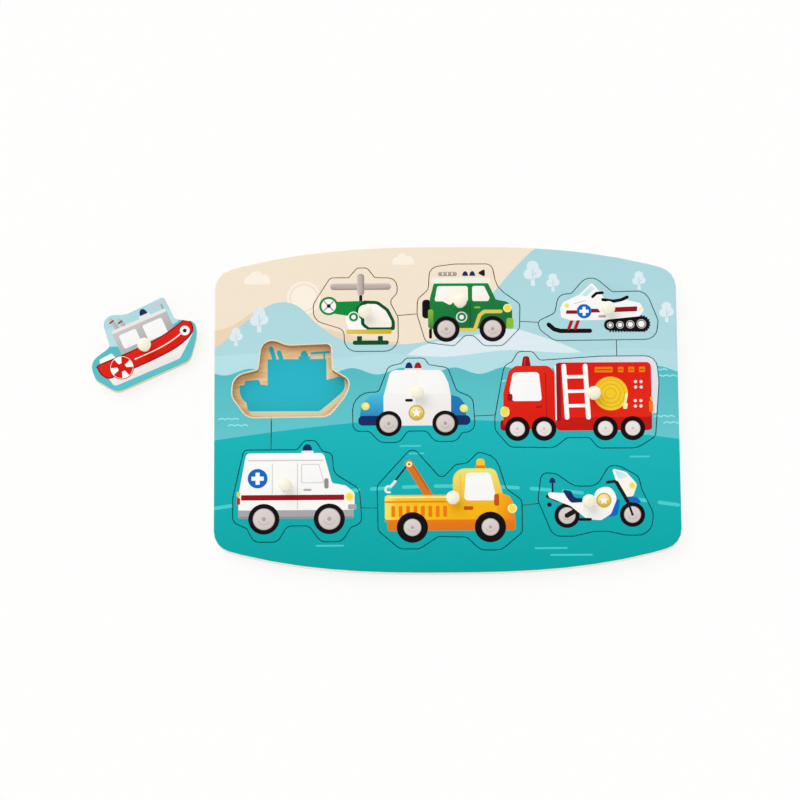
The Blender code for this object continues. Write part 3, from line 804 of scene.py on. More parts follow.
def flat_mm(place):
    """A place seen from above, in millimetres."""
    return tuple(place.xy * TO_MM)


def inside(points, starts, ends):
    """Which points lie inside closed outlines, by counting the edges that they cross."""
    found = np.zeros(len(points), bool)
    rise = ends[:, 1] - starts[:, 1]
    run = ends[:, 0] - starts[:, 0]
    slope = run / np.where(rise == 0.0, 1.0, rise)
    for first in range(0, len(points), TEST_BATCH):
        part = points[first:first + TEST_BATCH]
        x, y = part[:, :1], part[:, 1:2]
        spans = (starts[:, 1] > y) != (ends[:, 1] > y)
        crossing = starts[:, 0] + (y - starts[:, 1]) * slope
        found[first:first + TEST_BATCH] = (spans & (x < crossing)).sum(axis=1) % 2 == 1
    return found


def within(points, outline):
    """Which points lie inside a drawn outline."""
    return inside(points, outline, np.roll(outline, -1, axis=0))


def ink_at(mark, points, inks):
    """Linear colour and cover of a mark at points of the sheet."""
    if mark.ink is None:
        return np.zeros((len(points), 4))
    if isinstance(mark.ink, str):
        near = far = inks[mark.ink]
        share = np.zeros(len(points))
    else:
        near, far = inks[mark.ink[0]], inks[mark.ink[1]]
        way = np.array(mark.ink[2], float)
        reach = mark.outline @ way
        share = np.clip((points @ way - reach.min()) / np.ptp(reach), 0.0, 1.0)
    colour = np.outer(1.0 - share, near) + np.outer(share, far)
    return np.concatenate([colour, np.ones((len(points), 1))], axis=1)


def joined(seed, allowed):
    """The allowed faces that a face is joined to over edges."""
    reached = {seed}
    waiting = [seed]
    while waiting:
        for edge in waiting.pop().edges:
            for face in edge.link_faces:
                if face in allowed and face not in reached:
                    reached.add(face)
                    waiting.append(face)
    return reached


def outermost(faces):
    """The face that lies furthest to the right."""
    return max(faces, key=lambda f: f.calc_center_median().x)


def shortest(edges):
    """The shortest edge."""
    return min(edges, key=lambda e: e.calc_length())


def sawn_ways(node, walls):
    """Verts of the sawn walls, each with its way out of the wood, one unit from every face."""
    if node == "face_board":
        walls = walls - joined(outermost(walls), walls)
    else:
        low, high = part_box(node.replace("_piece", "_knob"))
        axis = (low + high) / 2.0
        walls = {f for f in walls
                 if (f.calc_center_median() - axis).xy.length > (high - low).x / 2.0}
    ways = {}
    for vert in {v for f in walls for v in f.verts}:
        normals = [f.normal.xy.normalized() for f in vert.link_faces if f in walls]
        both = normals[0] + min(normals, key=normals[0].dot)
        ways[vert] = both * (2.0 / max(both.length_squared, 1.0))
    return ways


def close_cut(bm, ways, feet, distance, still):
    """Move the sawn walls into the cut, and their eased rims with them.

    Feet give the wall vert under each vert of the top. Still is an outline on the board within
    which nothing moves.
    """
    places = np.array([flat_mm(vert.co) for vert in ways]).reshape(-1, 2)
    kept = within(places, still)
    moves = {vert: way * (0.0 if stays else distance)
             for (vert, way), stays in zip(ways.items(), kept)}
    rims = {vert: moves[foot] for vert, foot in feet.items() if foot in moves}
    for vert in bm.verts:
        near = [e for e in vert.link_edges
                if e.other_vert(vert) in moves and e.calc_length() < RIM_REACH]
        if vert not in moves and vert not in rims and near:
            rims[vert] = moves[shortest(near).other_vert(vert)]
    for vert, move in (moves | rims).items():
        vert.co.xy += move


def merged_copy(node):
    """A CAD node's loose triangles, merged."""
    bm = bmesh.new()
    bm.from_mesh(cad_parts[node].data)
    bmesh.ops.remove_doubles(bm, verts=bm.verts, dist=HAIR / 10.0)
    bm.normal_update()
    return bm


def split_edge(start, end, shares):
    """Cut an edge at shares of its length, and return all its verts from start to end."""
    chain = [start]
    done = 0.0
    for share in shares:
        edge = next(e for e in chain[-1].link_edges if e.other_vert(chain[-1]) is end)
        place = start.co.lerp(end.co, share)
        _, vert = bmesh.utils.edge_split(edge, chain[-1], (share - done) / (1.0 - done))
        vert.co = place
        chain.append(vert)
        done = share
    chain.append(end)
    return chain


def foot_of(vert):
    """The wall vert under an eased rim: the nearest one that lies lower."""
    lower = [e for e in vert.link_edges if e.other_vert(vert).co.z < vert.co.z - HAIR]
    return shortest(lower).other_vert(vert)


def rim_column(bm, top, wall, rings):
    """Verts of a quarter round from the top face to the wall."""
    edge = next((e for e in top.link_edges if e.other_vert(top) is wall), None)
    turns = [math.pi / 2.0 * ring / rings for ring in range(1, rings)]
    spots = [Vector((
        top.co.x + (wall.co.x - top.co.x) * math.sin(turn),
        top.co.y + (wall.co.y - top.co.y) * math.sin(turn),
        wall.co.z + (top.co.z - wall.co.z) * math.cos(turn),
    )) for turn in turns]
    if edge and edge.link_faces:
        column = split_edge(top, wall, [ring / rings for ring in range(1, rings)])
        for vert, spot in zip(column[1:-1], spots):
            vert.co = spot
        return column
    return [top] + [bm.verts.new(spot) for spot in spots] + [wall]


class Sheet:
    """A copy of a CAD sheet whose top face and rim are divided along the print's outlines.

    The ink is kept as a colour of each corner, with the cover as its alpha, and each vert's
    place on the sheet before it was sawn is kept too, so the grain runs on across the cuts.
    With an inked cut the ink runs over the rim and down the sawn wall.
    """

    def __init__(self, node, rings, to_sheet=Matrix.Identity(4), inked_cut=True):
        self.rings = rings
        self.to_sheet = to_sheet
        self.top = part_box(node)[1].z
        self.bm = merged_copy(node)
        self.ink = self.bm.loops.layers.float_color.new("ink")
        self.place = self.bm.verts.layers.float_vector.new("sheet")
        for loop in (loop for face in self.bm.faces for loop in face.loops):
            loop[self.ink] = BARE
        self.sides = {f for f in self.bm.faces if abs(f.normal.z) < SLANT}
        old_top = self.find_border(node)
        self.ways = sawn_ways(node, self.sides) if inked_cut else {}
        close_cut(self.bm, self.ways, self.feet, CUT_CLOSED, recess_rim(SAW_FLARE / MM))
        bmesh.ops.delete(self.bm, geom=old_top, context="FACES_ONLY")

    def find_border(self, node):
        """Find the edges round the top in the order in which its top face runs.

        Each has its start, its end and whether a rim lies outside it. The old faces of the top
        and its rims are returned.
        """
        caps = {f for f in self.bm.faces
                if f.normal.z > FLAT and f.verts[0].co.z > self.top - HAIR}
        rims = {f for f in self.bm.faces if SLANT < f.normal.z < FLAT
                and max(v.co.z for v in f.verts) > self.top - HAIR}
        self.border = []
        for loop in (loop for f in self.bm.faces if f in caps for loop in f.loops):
            others = [f for f in loop.edge.link_faces if f not in caps]
            if others:
                self.border.append((loop.vert, loop.link_loop_next.vert, others[0] in rims))
        if not self.border:
            raise RuntimeError(node + " has no flat top to print on")
        self.feet = {v: foot_of(v) for start, end, eased in self.border if eased
                     for v in (start, end)}
        return [f for f in self.bm.faces if f in caps or f in rims]

    def printed(self, marks, inks):
        """Lay the marks on the top, and return the mesh."""
        self.cut_border(self.divide_top(marks))
        along = self.lay_top(self.corner_inks(inks))
        self.ink_walls(self.lay_rims(along))
        loose = [e for e in self.bm.edges if not e.link_faces]
        bmesh.ops.delete(self.bm, geom=loose, context="EDGES")
        lone = [v for v in self.bm.verts if not v.link_faces]
        bmesh.ops.delete(self.bm, geom=lone, context="VERTS")
        self.bm.normal_update()
        for vert in self.bm.verts:
            vert[self.place] = self.to_sheet @ vert.co
        return self.bm

    def divide_top(self, marks):
        """Divide the flat top along the marks that reach it.

        For each edge of the border, the spots at which an outline crosses it are returned.
        """
        verts = list(dict.fromkeys(v for start, end, _ in self.border for v in (start, end)))
        number = {vert: index for index, vert in enumerate(verts)}
        flat = [flat_mm(self.to_sheet @ v.co) for v in verts]
        edges = [(number[start], number[end]) for start, end, _ in self.border]
        self.starts, self.ends = (np.array([flat[i] for i in side]) for side in zip(*edges))
        low, high = np.min(flat, axis=0), np.max(flat, axis=0)
        self.marks = [m for m in marks if (m.outline.max(axis=0) > low).all()
                      and (m.outline.min(axis=0) < high).all()]
        for mark in self.marks:
            first, count = len(flat), len(mark.outline)
            flat += [tuple(point) for point in mark.outline]
            edges += [(first + i, first + (i + 1) % count) for i in range(count)]
        spots, pieces, faces, vert_sources, edge_sources, _ = delaunay_2d_cdt(
            [Vector(point) for point in flat], edges, [], 0, CDT_EPSILON)
        self.spots = np.array(spots)
        self.made = [next((verts[s] for s in sources if s < len(verts)), None)
                     for sources in vert_sources]
        triangles = np.array(faces)
        kept = inside(self.spots[triangles].mean(axis=1), self.starts, self.ends)
        self.triangles = triangles[kept]
        crossings = [set() for _ in self.border]
        for ends, sources in zip(pieces, edge_sources):
            for source in sources:
                if source < len(self.border):
                    crossings[source].update(i for i in ends if self.made[i] is None)
        return crossings

    def cut_border(self, crossings):
        """Cut the border where an outline crosses it, and the wall's edge below it."""
        self.chains = []
        self.columns = {}
        for (start, end, eased), low, high, spots in zip(
                self.border, self.starts, self.ends, crossings):
            line = high - low
            share = {i: float((self.spots[i] - low) @ line / (line @ line)) for i in spots}
            order = sorted(share, key=share.get)
            cuts = [share[i] for i in order]
            chain = split_edge(start, end, cuts)
            for i, vert in zip(order, chain[1:-1]):
                self.made[i] = vert
            if not eased:
                continue
            walls = split_edge(self.feet[start], self.feet[end], cuts)
            for vert, wall in zip(chain, walls):
                if vert not in self.columns:
                    self.columns[vert] = rim_column(self.bm, vert, wall, self.rings)
            self.chains.append((chain, self.feet[start] in self.ways))

    def corner_inks(self, inks):
        """The ink of each corner of the top's triangles: that of the last mark over them."""
        middles = self.spots[self.triangles].mean(axis=1)
        upper = np.full(len(middles), -1)
        for index, mark in enumerate(self.marks):
            upper[within(middles, mark.outline)] = index
        colours = np.zeros((len(middles), 3, 4))
        for index, mark in enumerate(self.marks):
            chosen = upper == index
            if chosen.any():
                places = self.spots[self.triangles[chosen]].reshape(-1, 2)
                colours[chosen] = ink_at(mark, places, inks).reshape(-1, 3, 4)
        return colours

    def lay_top(self, colours):
        """Make the top's faces, and return the inks at both ends of each of their edges."""
        to_node = self.to_sheet.inverted()
        for i in set(self.triangles.ravel().tolist()):
            if self.made[i] is None:
                place = to_node @ Vector((*(self.spots[i] * MM), 0.0))
                self.made[i] = self.bm.verts.new((place.x, place.y, self.top))
        along = {}
        for triangle, colour in zip(self.triangles.tolist(), colours):
            a, b, c = self.spots[triangle]
            order = (0, 1, 2) if np.cross(b - a, c - a) > 0.0 else (2, 1, 0)
            face = self.bm.faces.new([self.made[triangle[i]] for i in order])
            for loop, here, ahead in zip(face.loops, order, order[1:] + order[:1]):
                loop[self.ink] = colour[here]
                along[(loop.vert, loop.link_loop_next.vert)] = (colour[here], colour[ahead])
        return along

    def lay_rims(self, along):
        """Make the rounded rims, and return the ink at the upper ends of the inked walls.

        On an inked cut the ink covers the rim. On any other it is worn off towards the wall.
        """
        runs = {}
        for chain, inked in self.chains:
            for start, end in zip(chain, chain[1:]):
                near, far = along[(start, end)]
                back, front = self.columns[start], self.columns[end]
                if inked:
                    runs[back[-1]] = near
                    runs.setdefault(front[-1], far)
                for ring in range(self.rings):
                    face = self.bm.faces.new(
                        (back[ring + 1], front[ring + 1], front[ring], back[ring]))
                    corners = zip(face.loops, (near, far, far, near),
                                  (ring + 1, ring + 1, ring, ring))
                    for loop, colour, depth in corners:
                        worn = 0.0 if inked else depth / self.rings
                        loop[self.ink] = (*colour[:3], colour[3] * (1.0 - worn))
        return runs

    def ink_walls(self, runs):
        """Let the ink run down the sawn walls and fade out at their feet."""
        for face in {f for vert in runs for f in vert.link_faces if f in self.sides}:
            inked = [runs[v] for v in face.verts if v in runs]
            for loop in face.loops:
                loop[self.ink] = runs.get(loop.vert, (*np.mean(inked, axis=0)[:3], 0.0))


def sort_faces(bm, top, outer_side=False):
    """Give print, sawn walls, underside and, on the board, its sanded side their materials."""
    for face in bm.faces:
        if face.normal.z > SLANT and max(v.co.z for v in face.verts) > top - RIM_DEPTH:
            face.material_index = PRINTED
        elif face.normal.z < -FLAT:
            face.material_index = UNDERSIDE
        else:
            face.material_index = SAWN
    if outer_side:
        sides = {f for f in bm.faces if f.material_index == SAWN}
        for face in joined(outermost(sides), sides):
            face.material_index = SANDED


def add_piece(name, mesh, node, body):
    """The object that stands for a CAD node, on its body."""
    if not mesh.polygons:
        raise RuntimeError(name + " came out empty")
    piece = bpy.data.objects.new(name, mesh)
    bpy.context.scene.collection.objects.link(piece)
    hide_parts(node)
    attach(piece, body)


def finished_piece(name, bm, materials, body, node):
    """Make a sheet's mesh a softly shaded piece."""
    mesh = bpy.data.meshes.new(name)
    bm.to_mesh(mesh)
    bm.free()
    # The solids' own corner normals would keep the new edges from being marked sharp
    stale = mesh.attributes.get("custom_normal")
    if stale:
        mesh.attributes.remove(stale)
    for material in materials:
        mesh.materials.append(material)
    mesh.shade_smooth()
    mesh.set_sharp_from_angle(angle=SHARP_ANGLE)
    draft = bpy.data.objects.new(name + "_draft", mesh)
    bpy.context.scene.collection.objects.link(draft)
    weighted = draft.modifiers.new("Even shading", "WEIGHTED_NORMAL")
    weighted.keep_sharp = True
    weighted.weight = 100
    graph = bpy.context.evaluated_depsgraph_get()
    shaded = bpy.data.meshes.new_from_object(
        draft.evaluated_get(graph), preserve_all_data_layers=True, depsgraph=graph)
    bpy.data.objects.remove(draft)
    bpy.data.meshes.remove(mesh)
    shaded.name = name
    add_piece(name, shaded, node, body)


def knob_place(vehicle):
    """Where a vehicle's knob stands on the printed sheet, in metres."""
    if vehicle == "boat":
        return BOAT_RECESS.xy
    low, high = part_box(vehicle + "_knob")
    return ((low + high) / 2.0).xy


def sheet_matrix(vehicle):
    """From a plate's place in the scene to its place on the sheet before it was sawn out."""
    if vehicle != "boat":
        return Matrix.Identity(4)
    low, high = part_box("boat_knob")
    middle = (low + high) / 2.0
    return (
        Matrix.Translation((BOAT_RECESS.x, BOAT_RECESS.y, FACE_BOTTOM))
        @ Matrix.Rotation(-BOAT_TURN, 4, "Z")
        @ Matrix.Translation((-middle.x, -middle.y, 0.0))
    )


def vehicle_marks(vehicle):
    """A vehicle's printed shapes at its place on the sheet."""
    d = Drawing()
    DRAWINGS[vehicle](d)
    place = np.array(knob_place(vehicle)) * TO_MM
    return [Mark(m.ink, m.outline + place) for m in d.marks]


def landscape_marks():
    """The landscape's printed shapes."""
    d = Drawing()
    draw_landscape(d)
    return d.marks


def silhouette(marks, ink):
    """A vehicle's marks in one ink, without those that lie wholly on an earlier one."""
    kept = []
    for mark in sorted(marks, key=lambda m: -np.ptp(m.outline, axis=0).prod()):
        hidden = any(within(mark.outline, other.outline).all() for other in kept)
        if not hidden and mark.ink != MARGIN:
            kept.append(Mark(ink, mark.outline))
    return kept


def wall_ring(bm, middle):
    """Verts round the upper end of a plate's sawn wall, in order."""
    following = defaultdict(list)
    for edge in bm.edges:
        faces = edge.link_faces
        if (min(v.co.z for v in edge.verts) > middle
                and sum(abs(f.normal.z) < SLANT for f in faces) == 1
                and sum(SLANT < f.normal.z < FLAT for f in faces) == 1):
            a, b = edge.verts
            following[a].append(b)
            following[b].append(a)
    start = next(iter(following))
    ring, here, came = [start], following[start][0], start
    while here is not start:
        ring.append(here)
        here, came = next(v for v in following[here] if v is not came), here
    return ring


def recess_rim(width):
    """An outline round the boat's recess, a width in millimetres outside the boat's plate."""
    bm = merged_copy("boat_piece")
    to_sheet = sheet_matrix("boat")
    low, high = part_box("boat_piece")
    ring = wall_ring(bm, (low.z + high.z) / 2.0)
    points = np.array([flat_mm(to_sheet @ v.co) for v in ring])
    bm.free()
    following = np.roll(points, -1, axis=0)
    ahead = (following - points) / np.linalg.norm(following - points, axis=1)[:, None]
    turn = math.copysign(1.0, np.cross(points, following).sum())
    out = np.stack([ahead[:, 1], -ahead[:, 0]], axis=1) * turn
    both = out + np.roll(out, 1, axis=0)
    both *= 2.0 / (both ** 2).sum(axis=1)[:, None]
    return points + both * width


# Finishes

# How fast a noise changes along the three axes: fibres and saw marks on the sawn sides, and the
# tool's rings on the knobs
FIBRES = (300.0, 300.0, 2600.0)
SAW_MARKS = (1600.0, 1600.0, 60.0)
TOOL_RINGS = (40.0, 40.0, 2400.0)

# How far the plies wander up and down
PLY_DRIFT = 0.22 * MM

# A Mix node's inputs and its output when it mixes colours
MIX_SHARE, MIX_FIRST, MIX_SECOND = 0, 6, 7
MIX_RESULT = 2

# What dirt and wear leave of a paint's red, green and blue
WORN = (0.97, 0.95, 0.88)


class Value:
    """A node's value that takes part in Python sums."""

    def __init__(self, nodes, socket):
        self.nodes = nodes
        self.socket = socket

    def maths(self, operation, *others):
        """This value and the others through one Math node."""
        return self.nodes.add("ShaderNodeMath", {"operation": operation},
                              dict(enumerate((self,) + others)))

    def __add__(self, other):
        return self.maths("ADD", other)

    def __mul__(self, other):
        return self.maths("MULTIPLY", other)

    def __sub__(self, other):
        return self.maths("SUBTRACT", other)

    def __truediv__(self, other):
        return self.maths("DIVIDE", other)

    def __rsub__(self, other):
        return self.nodes.add("ShaderNodeMath", {"operation": "SUBTRACT"}, {0: other, 1: self})

    __radd__ = __add__
    __rmul__ = __mul__

    def step(self, low, high):
        """Nought below low, one above high, and smooth between them."""
        return self.nodes.add(
            "ShaderNodeMapRange", {"interpolation_type": "SMOOTHSTEP"},
            {"Value": self, "From Min": low, "From Max": high}, "Result")


class Nodes:
    """A node tree that is built with a few short calls."""

    def __init__(self, tree):
        self.tree = tree

    def add(self, kind, settings, inputs, output=0):
        """One node of a kind, with its settings and then its inputs' values or links."""
        node = self.tree.nodes.new(kind)
        for key, value in settings.items():
            setattr(node, key, value)
        for key, value in inputs.items():
            self.feed(node.inputs[key], value)
        return Value(self, node.outputs[output])

    def feed(self, socket, value):
        """Link a value to a socket, or set the socket to a plain one."""
        if isinstance(value, Value):
            self.tree.links.new(value.socket, socket)
        else:
            socket.default_value = value

    def background_rays(self):
        """One for the camera's rays and for those that a gloss or a clear piece sends on."""
        camera = self.add("ShaderNodeLightPath", {}, {}, "Is Camera Ray")
        path = camera.socket.node.outputs
        return camera + Value(self, path["Is Glossy Ray"]) + Value(
            self, path["Is Transmission Ray"])


class Finish(Nodes):
    """A material and the nodes that make its finish."""

    def __init__(self, name, roughness, specular):
        self.material = bpy.data.materials.new(name)
        self.material.use_nodes = True
        super().__init__(self.material.node_tree)
        self.shader = self.tree.nodes["Principled BSDF"]
        self.rough(roughness)
        self.feed(self.shader.inputs["Specular IOR Level"], specular)

    def mix(self, first, second, share):
        """A colour between two others."""
        return self.add("ShaderNodeMix", {"data_type": "RGBA"}, {
            MIX_SHARE: share, MIX_FIRST: self.opaque(first), MIX_SECOND: self.opaque(second),
        }, MIX_RESULT)

    def tint(self, colour, level):
        """A colour made lighter or darker by a value."""
        grey = self.add("ShaderNodeCombineXYZ", {}, dict.fromkeys("XYZ", level))
        return self.add("ShaderNodeVectorMath", {"operation": "MULTIPLY"}, {0: colour, 1: grey})

    def opaque(self, colour):
        """A colour as a socket takes it."""
        return colour if isinstance(colour, Value) else (*colour, 1.0)

    def attribute(self, name, output="Color"):
        """What the piece's mesh holds under a name."""
        return self.add("ShaderNodeAttribute", {"attribute_name": name}, {}, output)

    def stretched(self, place, stretch):
        """A place, stretched along its axes."""
        return self.add("ShaderNodeMapping", {}, {"Vector": place, "Scale": stretch})

    def on_sheet(self, stretch=(1.0, 1.0, 1.0)):
        """The place on the sheet of plywood before it was sawn."""
        return self.stretched(self.attribute("sheet", "Vector"), stretch)

    def along_grain(self, squeeze):
        """The place on the sheet, squeezed across the grain, which runs along x."""
        return self.on_sheet((1.0, squeeze, squeeze))

    def on_piece(self, stretch=(1.0, 1.0, 1.0)):
        """The place on the piece."""
        return self.stretched(self.add("ShaderNodeTexCoord", {}, {}, "Object"), stretch)

    def noise(self, place, scale=1.0, detail=3.0, roughness=0.5, distortion=0.0):
        """Noise about one half."""
        return self.add("ShaderNodeTexNoise", {}, {
            "Vector": place, "Scale": scale, "Detail": detail, "Roughness": roughness,
            "Distortion": distortion})

    def bump(self, height, depth):
        """Feed a height, scaled to a depth in metres, to the shader's normal."""
        self.feed(self.shader.inputs["Normal"], self.add("ShaderNodeBump", {}, {
            "Height": height, "Distance": depth}))

    def colour(self, value):
        """Feed the base colour."""
        self.feed(self.shader.inputs["Base Color"], value)

    def rough(self, value):
        """Feed the roughness."""
        self.feed(self.shader.inputs["Roughness"], value)


def wood_grain(finish):
    """Long soft streaks along the board's length, and the fine fibres in them."""
    broad = finish.noise(finish.along_grain(9.0), scale=22.0, detail=4.0, roughness=0.55,
                         distortion=0.6)
    fine = finish.noise(finish.along_grain(26.0), scale=90.0, detail=2.0, roughness=0.6)
    return broad, fine


def printed_finish(wood):
    """Ink on a sanded veneer under a thin satin lacquer, rubbed through at the rim."""
    finish = Finish("satin_print", roughness=0.42, specular=0.05)
    broad, fine = wood_grain(finish)
    speck = finish.noise(finish.on_sheet(), scale=1500.0, detail=2.0, roughness=0.6)
    cloudy = finish.noise(finish.on_sheet(), scale=38.0, detail=2.0)
    level = 0.955 + broad * 0.03 + fine * 0.03 + speck * 0.02 + cloudy * 0.012
    printed = finish.tint(finish.attribute("ink"), level)
    bare = finish.mix(linear(wood.rim_dark), linear(wood.rim_light), broad.step(0.35, 0.65))
    bare = finish.tint(bare, 0.96 + fine * 0.06)
    cover = finish.attribute("ink", "Alpha") + (speck - 0.5) * 0.3 + (fine - 0.5) * 0.25
    finish.colour(finish.mix(bare, printed, cover.step(0.02, 0.14)))
    finish.rough(0.36 + broad * 0.06 + speck * 0.08)
    finish.bump(broad * 0.4 + fine * 0.4 + speck * 0.2, depth=0.02 * MM)
    return finish.material


def edge_finish(name, light, dark, ply, roughness, saw_depth):
    """The plies of a cut edge, with the marks of saw and sandpaper across them."""
    finish = Finish(name, roughness, specular=0.15)
    place = finish.on_sheet()
    drift = finish.noise(place, scale=60.0, detail=2.0)
    height = finish.add("ShaderNodeSeparateXYZ", {}, {0: place}, "Z") + (drift - 0.5) * PLY_DRIFT
    band = (height / (2.0 * ply)).maths("FRACT")
    inner = (band - 0.5).maths("ABSOLUTE") * 2.0
    cross = inner.step(0.44, 0.56)
    glue = 1.0 - (inner - 0.5).maths("ABSOLUTE").step(0.03, 0.09)
    fibre = finish.noise(finish.on_sheet(FIBRES), roughness=0.6)
    saw = finish.noise(finish.on_sheet(SAW_MARKS), detail=2.0, roughness=0.6)
    blotch = finish.noise(place, scale=140.0)
    pores = finish.noise(place, scale=2600.0, detail=2.0, roughness=0.6).step(0.5, 0.72)
    colour = finish.mix(linear(light), linear(dark), cross * 0.75 + (fibre - 0.5) * 0.6)
    level = 0.87 + fibre * 0.13 + saw * 0.09 + blotch * 0.06 - glue * 0.12 - cross * pores * 0.12
    bare = finish.tint(colour, level)
    run = finish.attribute("ink", "Alpha") + (saw - 0.5) * 0.1
    printed = finish.tint(finish.attribute("ink"), 0.86 + saw * 0.1)
    finish.colour(finish.mix(bare, printed, run.step(0.64, 0.78)))
    finish.rough(roughness - 0.05 + fibre * 0.1)
    finish.bump(saw * 0.6 + fibre * 0.4, saw_depth)
    return finish.material


def ply_finish(name, light, dark, roughness):
    """Bare sanded veneer with its grain, and the ink printed on it."""
    finish = Finish(name, roughness, specular=0.1)
    broad, fine = wood_grain(finish)
    pores = finish.noise(finish.along_grain(14.0), scale=260.0, detail=2.0, roughness=0.7)
    wood = finish.mix(linear(light), linear(dark), (broad * 0.7 + fine * 0.3).step(0.36, 0.66))
    wood = finish.tint(wood, 0.93 + fine * 0.09 - pores.step(0.62, 0.74) * 0.1)
    printed = finish.tint(finish.attribute("ink"), 0.94 + broad * 0.06 + fine * 0.05)
    cover = finish.attribute("ink", "Alpha") + (fine - 0.5) * 0.3
    finish.colour(finish.mix(wood, printed, cover.step(0.3, 0.6)))
    finish.rough(roughness - 0.04 + fine * 0.1)
    finish.bump(broad * 0.4 + fine * 0.6, depth=0.03 * MM)
    return finish.material


def paint_finish(paint):
    """Satin paint over turned wood: faint rings of the tool and a soft orange peel."""
    finish = Finish("knob_paint", roughness=0.34, specular=0.3)
    peel = finish.noise(finish.on_piece(), scale=900.0, detail=2.0)
    rings = finish.noise(finish.on_piece(TOOL_RINGS), detail=2.0)
    dirt = finish.noise(finish.on_piece(), scale=260.0, roughness=0.6)
    worn = tuple(level * share for level, share in zip(linear(paint), WORN))
    colour = finish.mix(linear(paint), worn, dirt.step(0.5, 0.8) * 0.6)
    finish.colour(finish.tint(colour, 0.975 + peel * 0.03 + rings * 0.02))
    finish.rough(0.3 + peel * 0.12)
    finish.bump(peel * 0.5 + rings * 0.5, depth=0.03 * MM)
    return finish.material


def sheet_materials(wood, *names):
    """The finishes of the sheets by name, made when they are first asked for."""
    makers = {
        "satin_print": lambda name: printed_finish(wood),
        "plate_side": lambda name: edge_finish(
            name, wood.plate_light, wood.plate_dark, wood.ply, roughness=0.6,
            saw_depth=0.03 * MM),
        # Darker, more orange plies: partly sawn wood, partly painted shade of the openings'
        # walls
        "sawn_opening": lambda name: edge_finish(
            name, wood.shaded_opening_ply, wood.shaded_opening_cross_ply, wood.ply, roughness=0.75,
            saw_depth=0.06 * MM),
        "sanded_side": lambda name: edge_finish(
            name, wood.side_light, wood.side_dark, wood.ply, roughness=0.5,
            saw_depth=0.02 * MM),
        "plain_veneer": lambda name: ply_finish(
            name, wood.floor_light, wood.floor_dark, roughness=0.6),
    }
    return [bpy.data.materials.get(name) or makers[name](name) for name in names]


def linear_inks(inks):
    """Every ink by name, as linear values."""
    return {name: np.array(linear(getattr(inks, name))) for name in INKS}


# Knob's node tree

# The tree's inputs and their kinds
KNOB_INPUTS = {
    "Geometry": "Geometry", "Diameter": "Float", "Height": "Float", "Foot": "Float",
    "Neck": "Float", "Cap": "Float", "Tenon": "Float", "Tenon length": "Float",
    "Place": "Vector", "Sides": "Int", "Paint": "Material",
}

# Steps of the profile's curves
DOME_STEPS = 14
BEND_STEPS = 8

# Radius of the thread that the profile is turned round, and the distance that closes its gap
THREAD = 0.001 * MM
CLOSED = 0.004 * MM


def knob_profile(nodes, size):
    """The curves of a knob's profile, from the top of its dome to the end of its tenon.

    The shares say how far the curves' ends and handles stand between two of its sizes.
    """
    def between(low, high, share):
        """A value at a share of the way from low to high."""
        return low + (high - low) * share

    def spot(radius, height):
        """A profile point. The lathe turns a profile's y downwards."""
        return nodes.add("ShaderNodeCombineXYZ", {}, {"X": radius, "Y": height * -1.0})

    def bend(start, leave, arrive, end, steps=BEND_STEPS):
        """A curve from start to end with its two handles."""
        return nodes.add("GeometryNodeCurvePrimitiveBezierSegment", {}, {
            "Start": start, "Start Handle": leave, "End Handle": arrive, "End": end,
            "Resolution": steps})

    cap, foot, neck, tenon = (
        size[name] * 0.5 for name in ("Diameter", "Foot", "Neck", "Tenon"))
    tip = size["Tenon length"] * -1.0
    top = size["Height"]
    under = top - size["Cap"]
    widest = under + size["Cap"] * 0.42
    shoulder = spot(cap, widest)
    underside = spot(between(neck, cap, 0.62), under)
    waist = spot(neck, under * 0.5)
    corners = [spot(foot, 0.0), spot(tenon, 0.0), spot(tenon, tip), spot(0.0, tip)]
    return [
        bend(spot(0.0, top), spot(cap * 0.56, top), spot(cap, between(widest, top, 0.55)),
             shoulder, DOME_STEPS),
        bend(shoulder, spot(cap, between(under, widest, 0.45)),
             spot(between(neck, cap, 0.9), under), underside),
        bend(underside, spot(between(neck, cap, 0.25), under), spot(neck, under), waist),
        bend(waist, spot(neck, under * 0.25), spot(between(neck, foot, 0.7), under * 0.12),
             corners[0]),
    ] + [bend(start, start, end, end, 1) for start, end in zip(corners, corners[1:])]


def knob_tree():
    """Turn a knob about its axis: dome, lip, underside, neck, foot and tenon."""
    tree = bpy.data.node_groups.new("Turned knob", "GeometryNodeTree")
    face = tree.interface
    for name, kind in KNOB_INPUTS.items():
        face.new_socket(name=name, in_out="INPUT", socket_type="NodeSocket" + kind)
    face.new_socket(name="Geometry", in_out="OUTPUT", socket_type="NodeSocketGeometry")
    nodes = Nodes(tree)
    given = tree.nodes.new("NodeGroupInput").outputs
    size = {name: Value(nodes, given[name]) for name in KNOB_INPUTS}
    profile = tree.nodes.new("GeometryNodeJoinGeometry")
    for curve in reversed(knob_profile(nodes, size)):
        nodes.feed(profile.inputs[0], curve)
    thread = nodes.add("GeometryNodeCurvePrimitiveCircle", {}, {
        "Radius": THREAD, "Resolution": size["Sides"]})
    upright = nodes.add("GeometryNodeSetCurveNormal", {"mode": "Z_UP"}, {"Curve": thread})
    turned = nodes.add("GeometryNodeCurveToMesh", {}, {
        "Curve": upright, "Profile Curve": Value(nodes, profile.outputs[0])})
    merged = nodes.add("GeometryNodeMergeByDistance", {}, {
        "Geometry": turned, "Distance": CLOSED})
    moved = nodes.add("GeometryNodeTransform", {}, {
        "Geometry": merged, "Translation": size["Place"]})
    real = nodes.add("GeometryNodeRealizeInstances", {}, {"Geometry": moved})
    painted = nodes.add("GeometryNodeSetMaterial", {}, {
        "Geometry": real, "Material": size["Paint"]})
    nodes.feed(tree.nodes.new("NodeGroupOutput").inputs[0], painted)
    return tree


